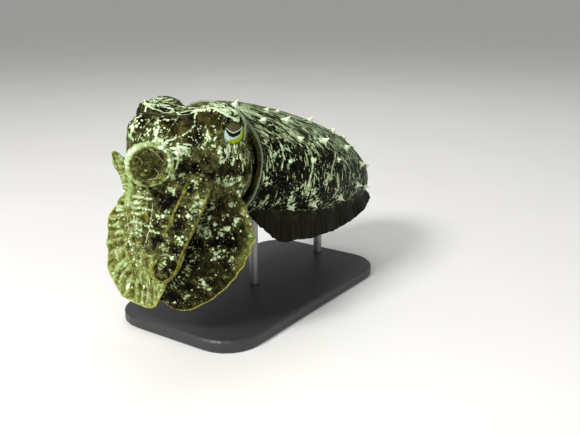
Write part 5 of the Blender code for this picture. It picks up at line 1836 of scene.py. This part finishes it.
def stand_material(name, dark, light, metal):
    """Satin finish of the stand, with a fine grain."""
    n = Nodes(name)
    grain = n.noise(n.place(), 900.0, 3.0, 0.6)
    wide = n.noise(n.place(), 14.0, 3.0, 0.5)
    bump = n.add("Bump", {"Strength": 0.25, "Distance": 0.0002, "Height": grain})
    return n.surface({"Base Color": n.mix(n.product(wide, 0.8), dark, light),
                      "Roughness": n.blend(grain, 0.36, 0.54), "Metallic": metal, "Normal": bump.outputs[0]})


# Stage

FLOOR_REACH = 40.0


def build_stage():
    """The floor."""
    corners = [(x * FLOOR_REACH, y * FLOOR_REACH, 0) for x, y in ((-1, -1), (1, -1), (1, 1), (-1, 1))]
    floor = mesh_object("studio_floor", corners, [(0, 1, 2, 3)])
    pale = linear(232, 231, 228), linear(238, 237, 234)
    dress(floor, grained_material("studio_floor", 6.0, *pale, (0.55, 0.7)))


def add_light(name, place, target, size, power, colour):
    """A soft rectangular light."""
    data = bpy.data.lights.new(name, "AREA")
    data.shape = "RECTANGLE"
    data.size, data.size_y = size
    data.energy = power
    data.color = colour
    light = bpy.data.objects.new(name, data)
    light.location = place
    light.rotation_euler = (Vector(target) - Vector(place)).to_track_quat("-Z", "Y").to_euler()
    bpy.context.scene.collection.objects.link(light)


def build_lights():
    """Soft light from above the camera, a fill from its right and a wash from above."""
    target = (0.0, 0.0, 0.12)
    add_light("key", (-0.10, -1.05, 1.00), target, (0.40, 0.35), 20.0, (1.0, 0.99, 0.97))
    add_light("fill", (1.30, -0.10, 0.55), target, (0.9, 0.9), 3.0, (0.97, 0.99, 1.0))
    add_light("top", (-0.4, 0.7, 1.5), target, (1.0, 1.0), 7.0, (1.0, 1.0, 1.0))
    world = bpy.data.worlds.new("studio")
    world.use_nodes = True
    background = world.node_tree.nodes["Background"]
    background.inputs["Color"].default_value = (0.90, 0.90, 0.90, 1.0)
    background.inputs["Strength"].default_value = 0.42
    bpy.context.scene.world = world


def set_colours():
    """Shows colours as they are, without a film look."""
    bpy.context.scene.view_settings.view_transform = "Standard"
    bpy.context.scene.view_settings.look = "None"


def build_camera():
    """The camera at the photograph's place."""
    data = bpy.data.cameras.new("camera")
    data.sensor_width = SENSOR
    data.lens = FOCAL_PIXELS / PHOTO_WIDTH * SENSOR
    data.clip_start = 0.01
    camera = bpy.data.objects.new("camera", data)
    forward, right, up = camera_axes()
    turn = Matrix((right, up, -forward)).transposed().to_4x4()
    camera.matrix_world = Matrix.Translation(Vector(CAMERA_PLACE + EYES)) @ turn
    bpy.context.scene.collection.objects.link(camera)
    bpy.context.scene.camera = camera


def dress(obj, material):
    """Gives every face of an object one material."""
    obj.data.materials.clear()
    obj.data.materials.append(material)


def main():
    """Dresses the frame and sets the stage."""
    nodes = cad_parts
    arms = [Arm(name, **spec) for name, spec in ARMS.items()]
    skin = build_skin(arms)
    dress(skin, skin_material())
    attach(skin, "root")
    flesh = [name for name in nodes if not name.startswith(("stand_", "eye_", "beak"))]
    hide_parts(*flesh)
    iris = eye_material()
    for hand, side in ((1, "left"), (-1, "right")):
        eye = build_eye(hand, side)
        dress(eye, iris)
        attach(eye, "root")
        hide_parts("eye_" + side)
    pale_flesh = linear(96, 92, 44), linear(164, 168, 104)
    cups = grained_material("cuttlefish_suckers", 500.0, *pale_flesh, (0.35, 0.5), (0.35, 0.65))
    for piece in (build_suckers(arms), build_filaments(ARMS["arm_left_1"]["coil"])):
        dress(piece, cups)
        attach(piece, "root")
    horn = linear(22, 14, 8), linear(70, 44, 24)
    dress(nodes["beak"], grained_material("cuttlefish_beak", 700.0, *horn, (0.22, 0.4)))
    base = stand_material("stand_base_finish", linear(40, 41, 43), linear(54, 55, 57), 0.0)
    dress(nodes["stand_base"], base)
    rods = stand_material("stand_rod_finish", linear(150, 150, 150), linear(176, 176, 176), 1.0)
    for name in ("stand_rod_front", "stand_rod_rear"):
        dress(nodes[name], rods)
    build_stage()
    build_lights()
    build_camera()
    set_colours()


main()
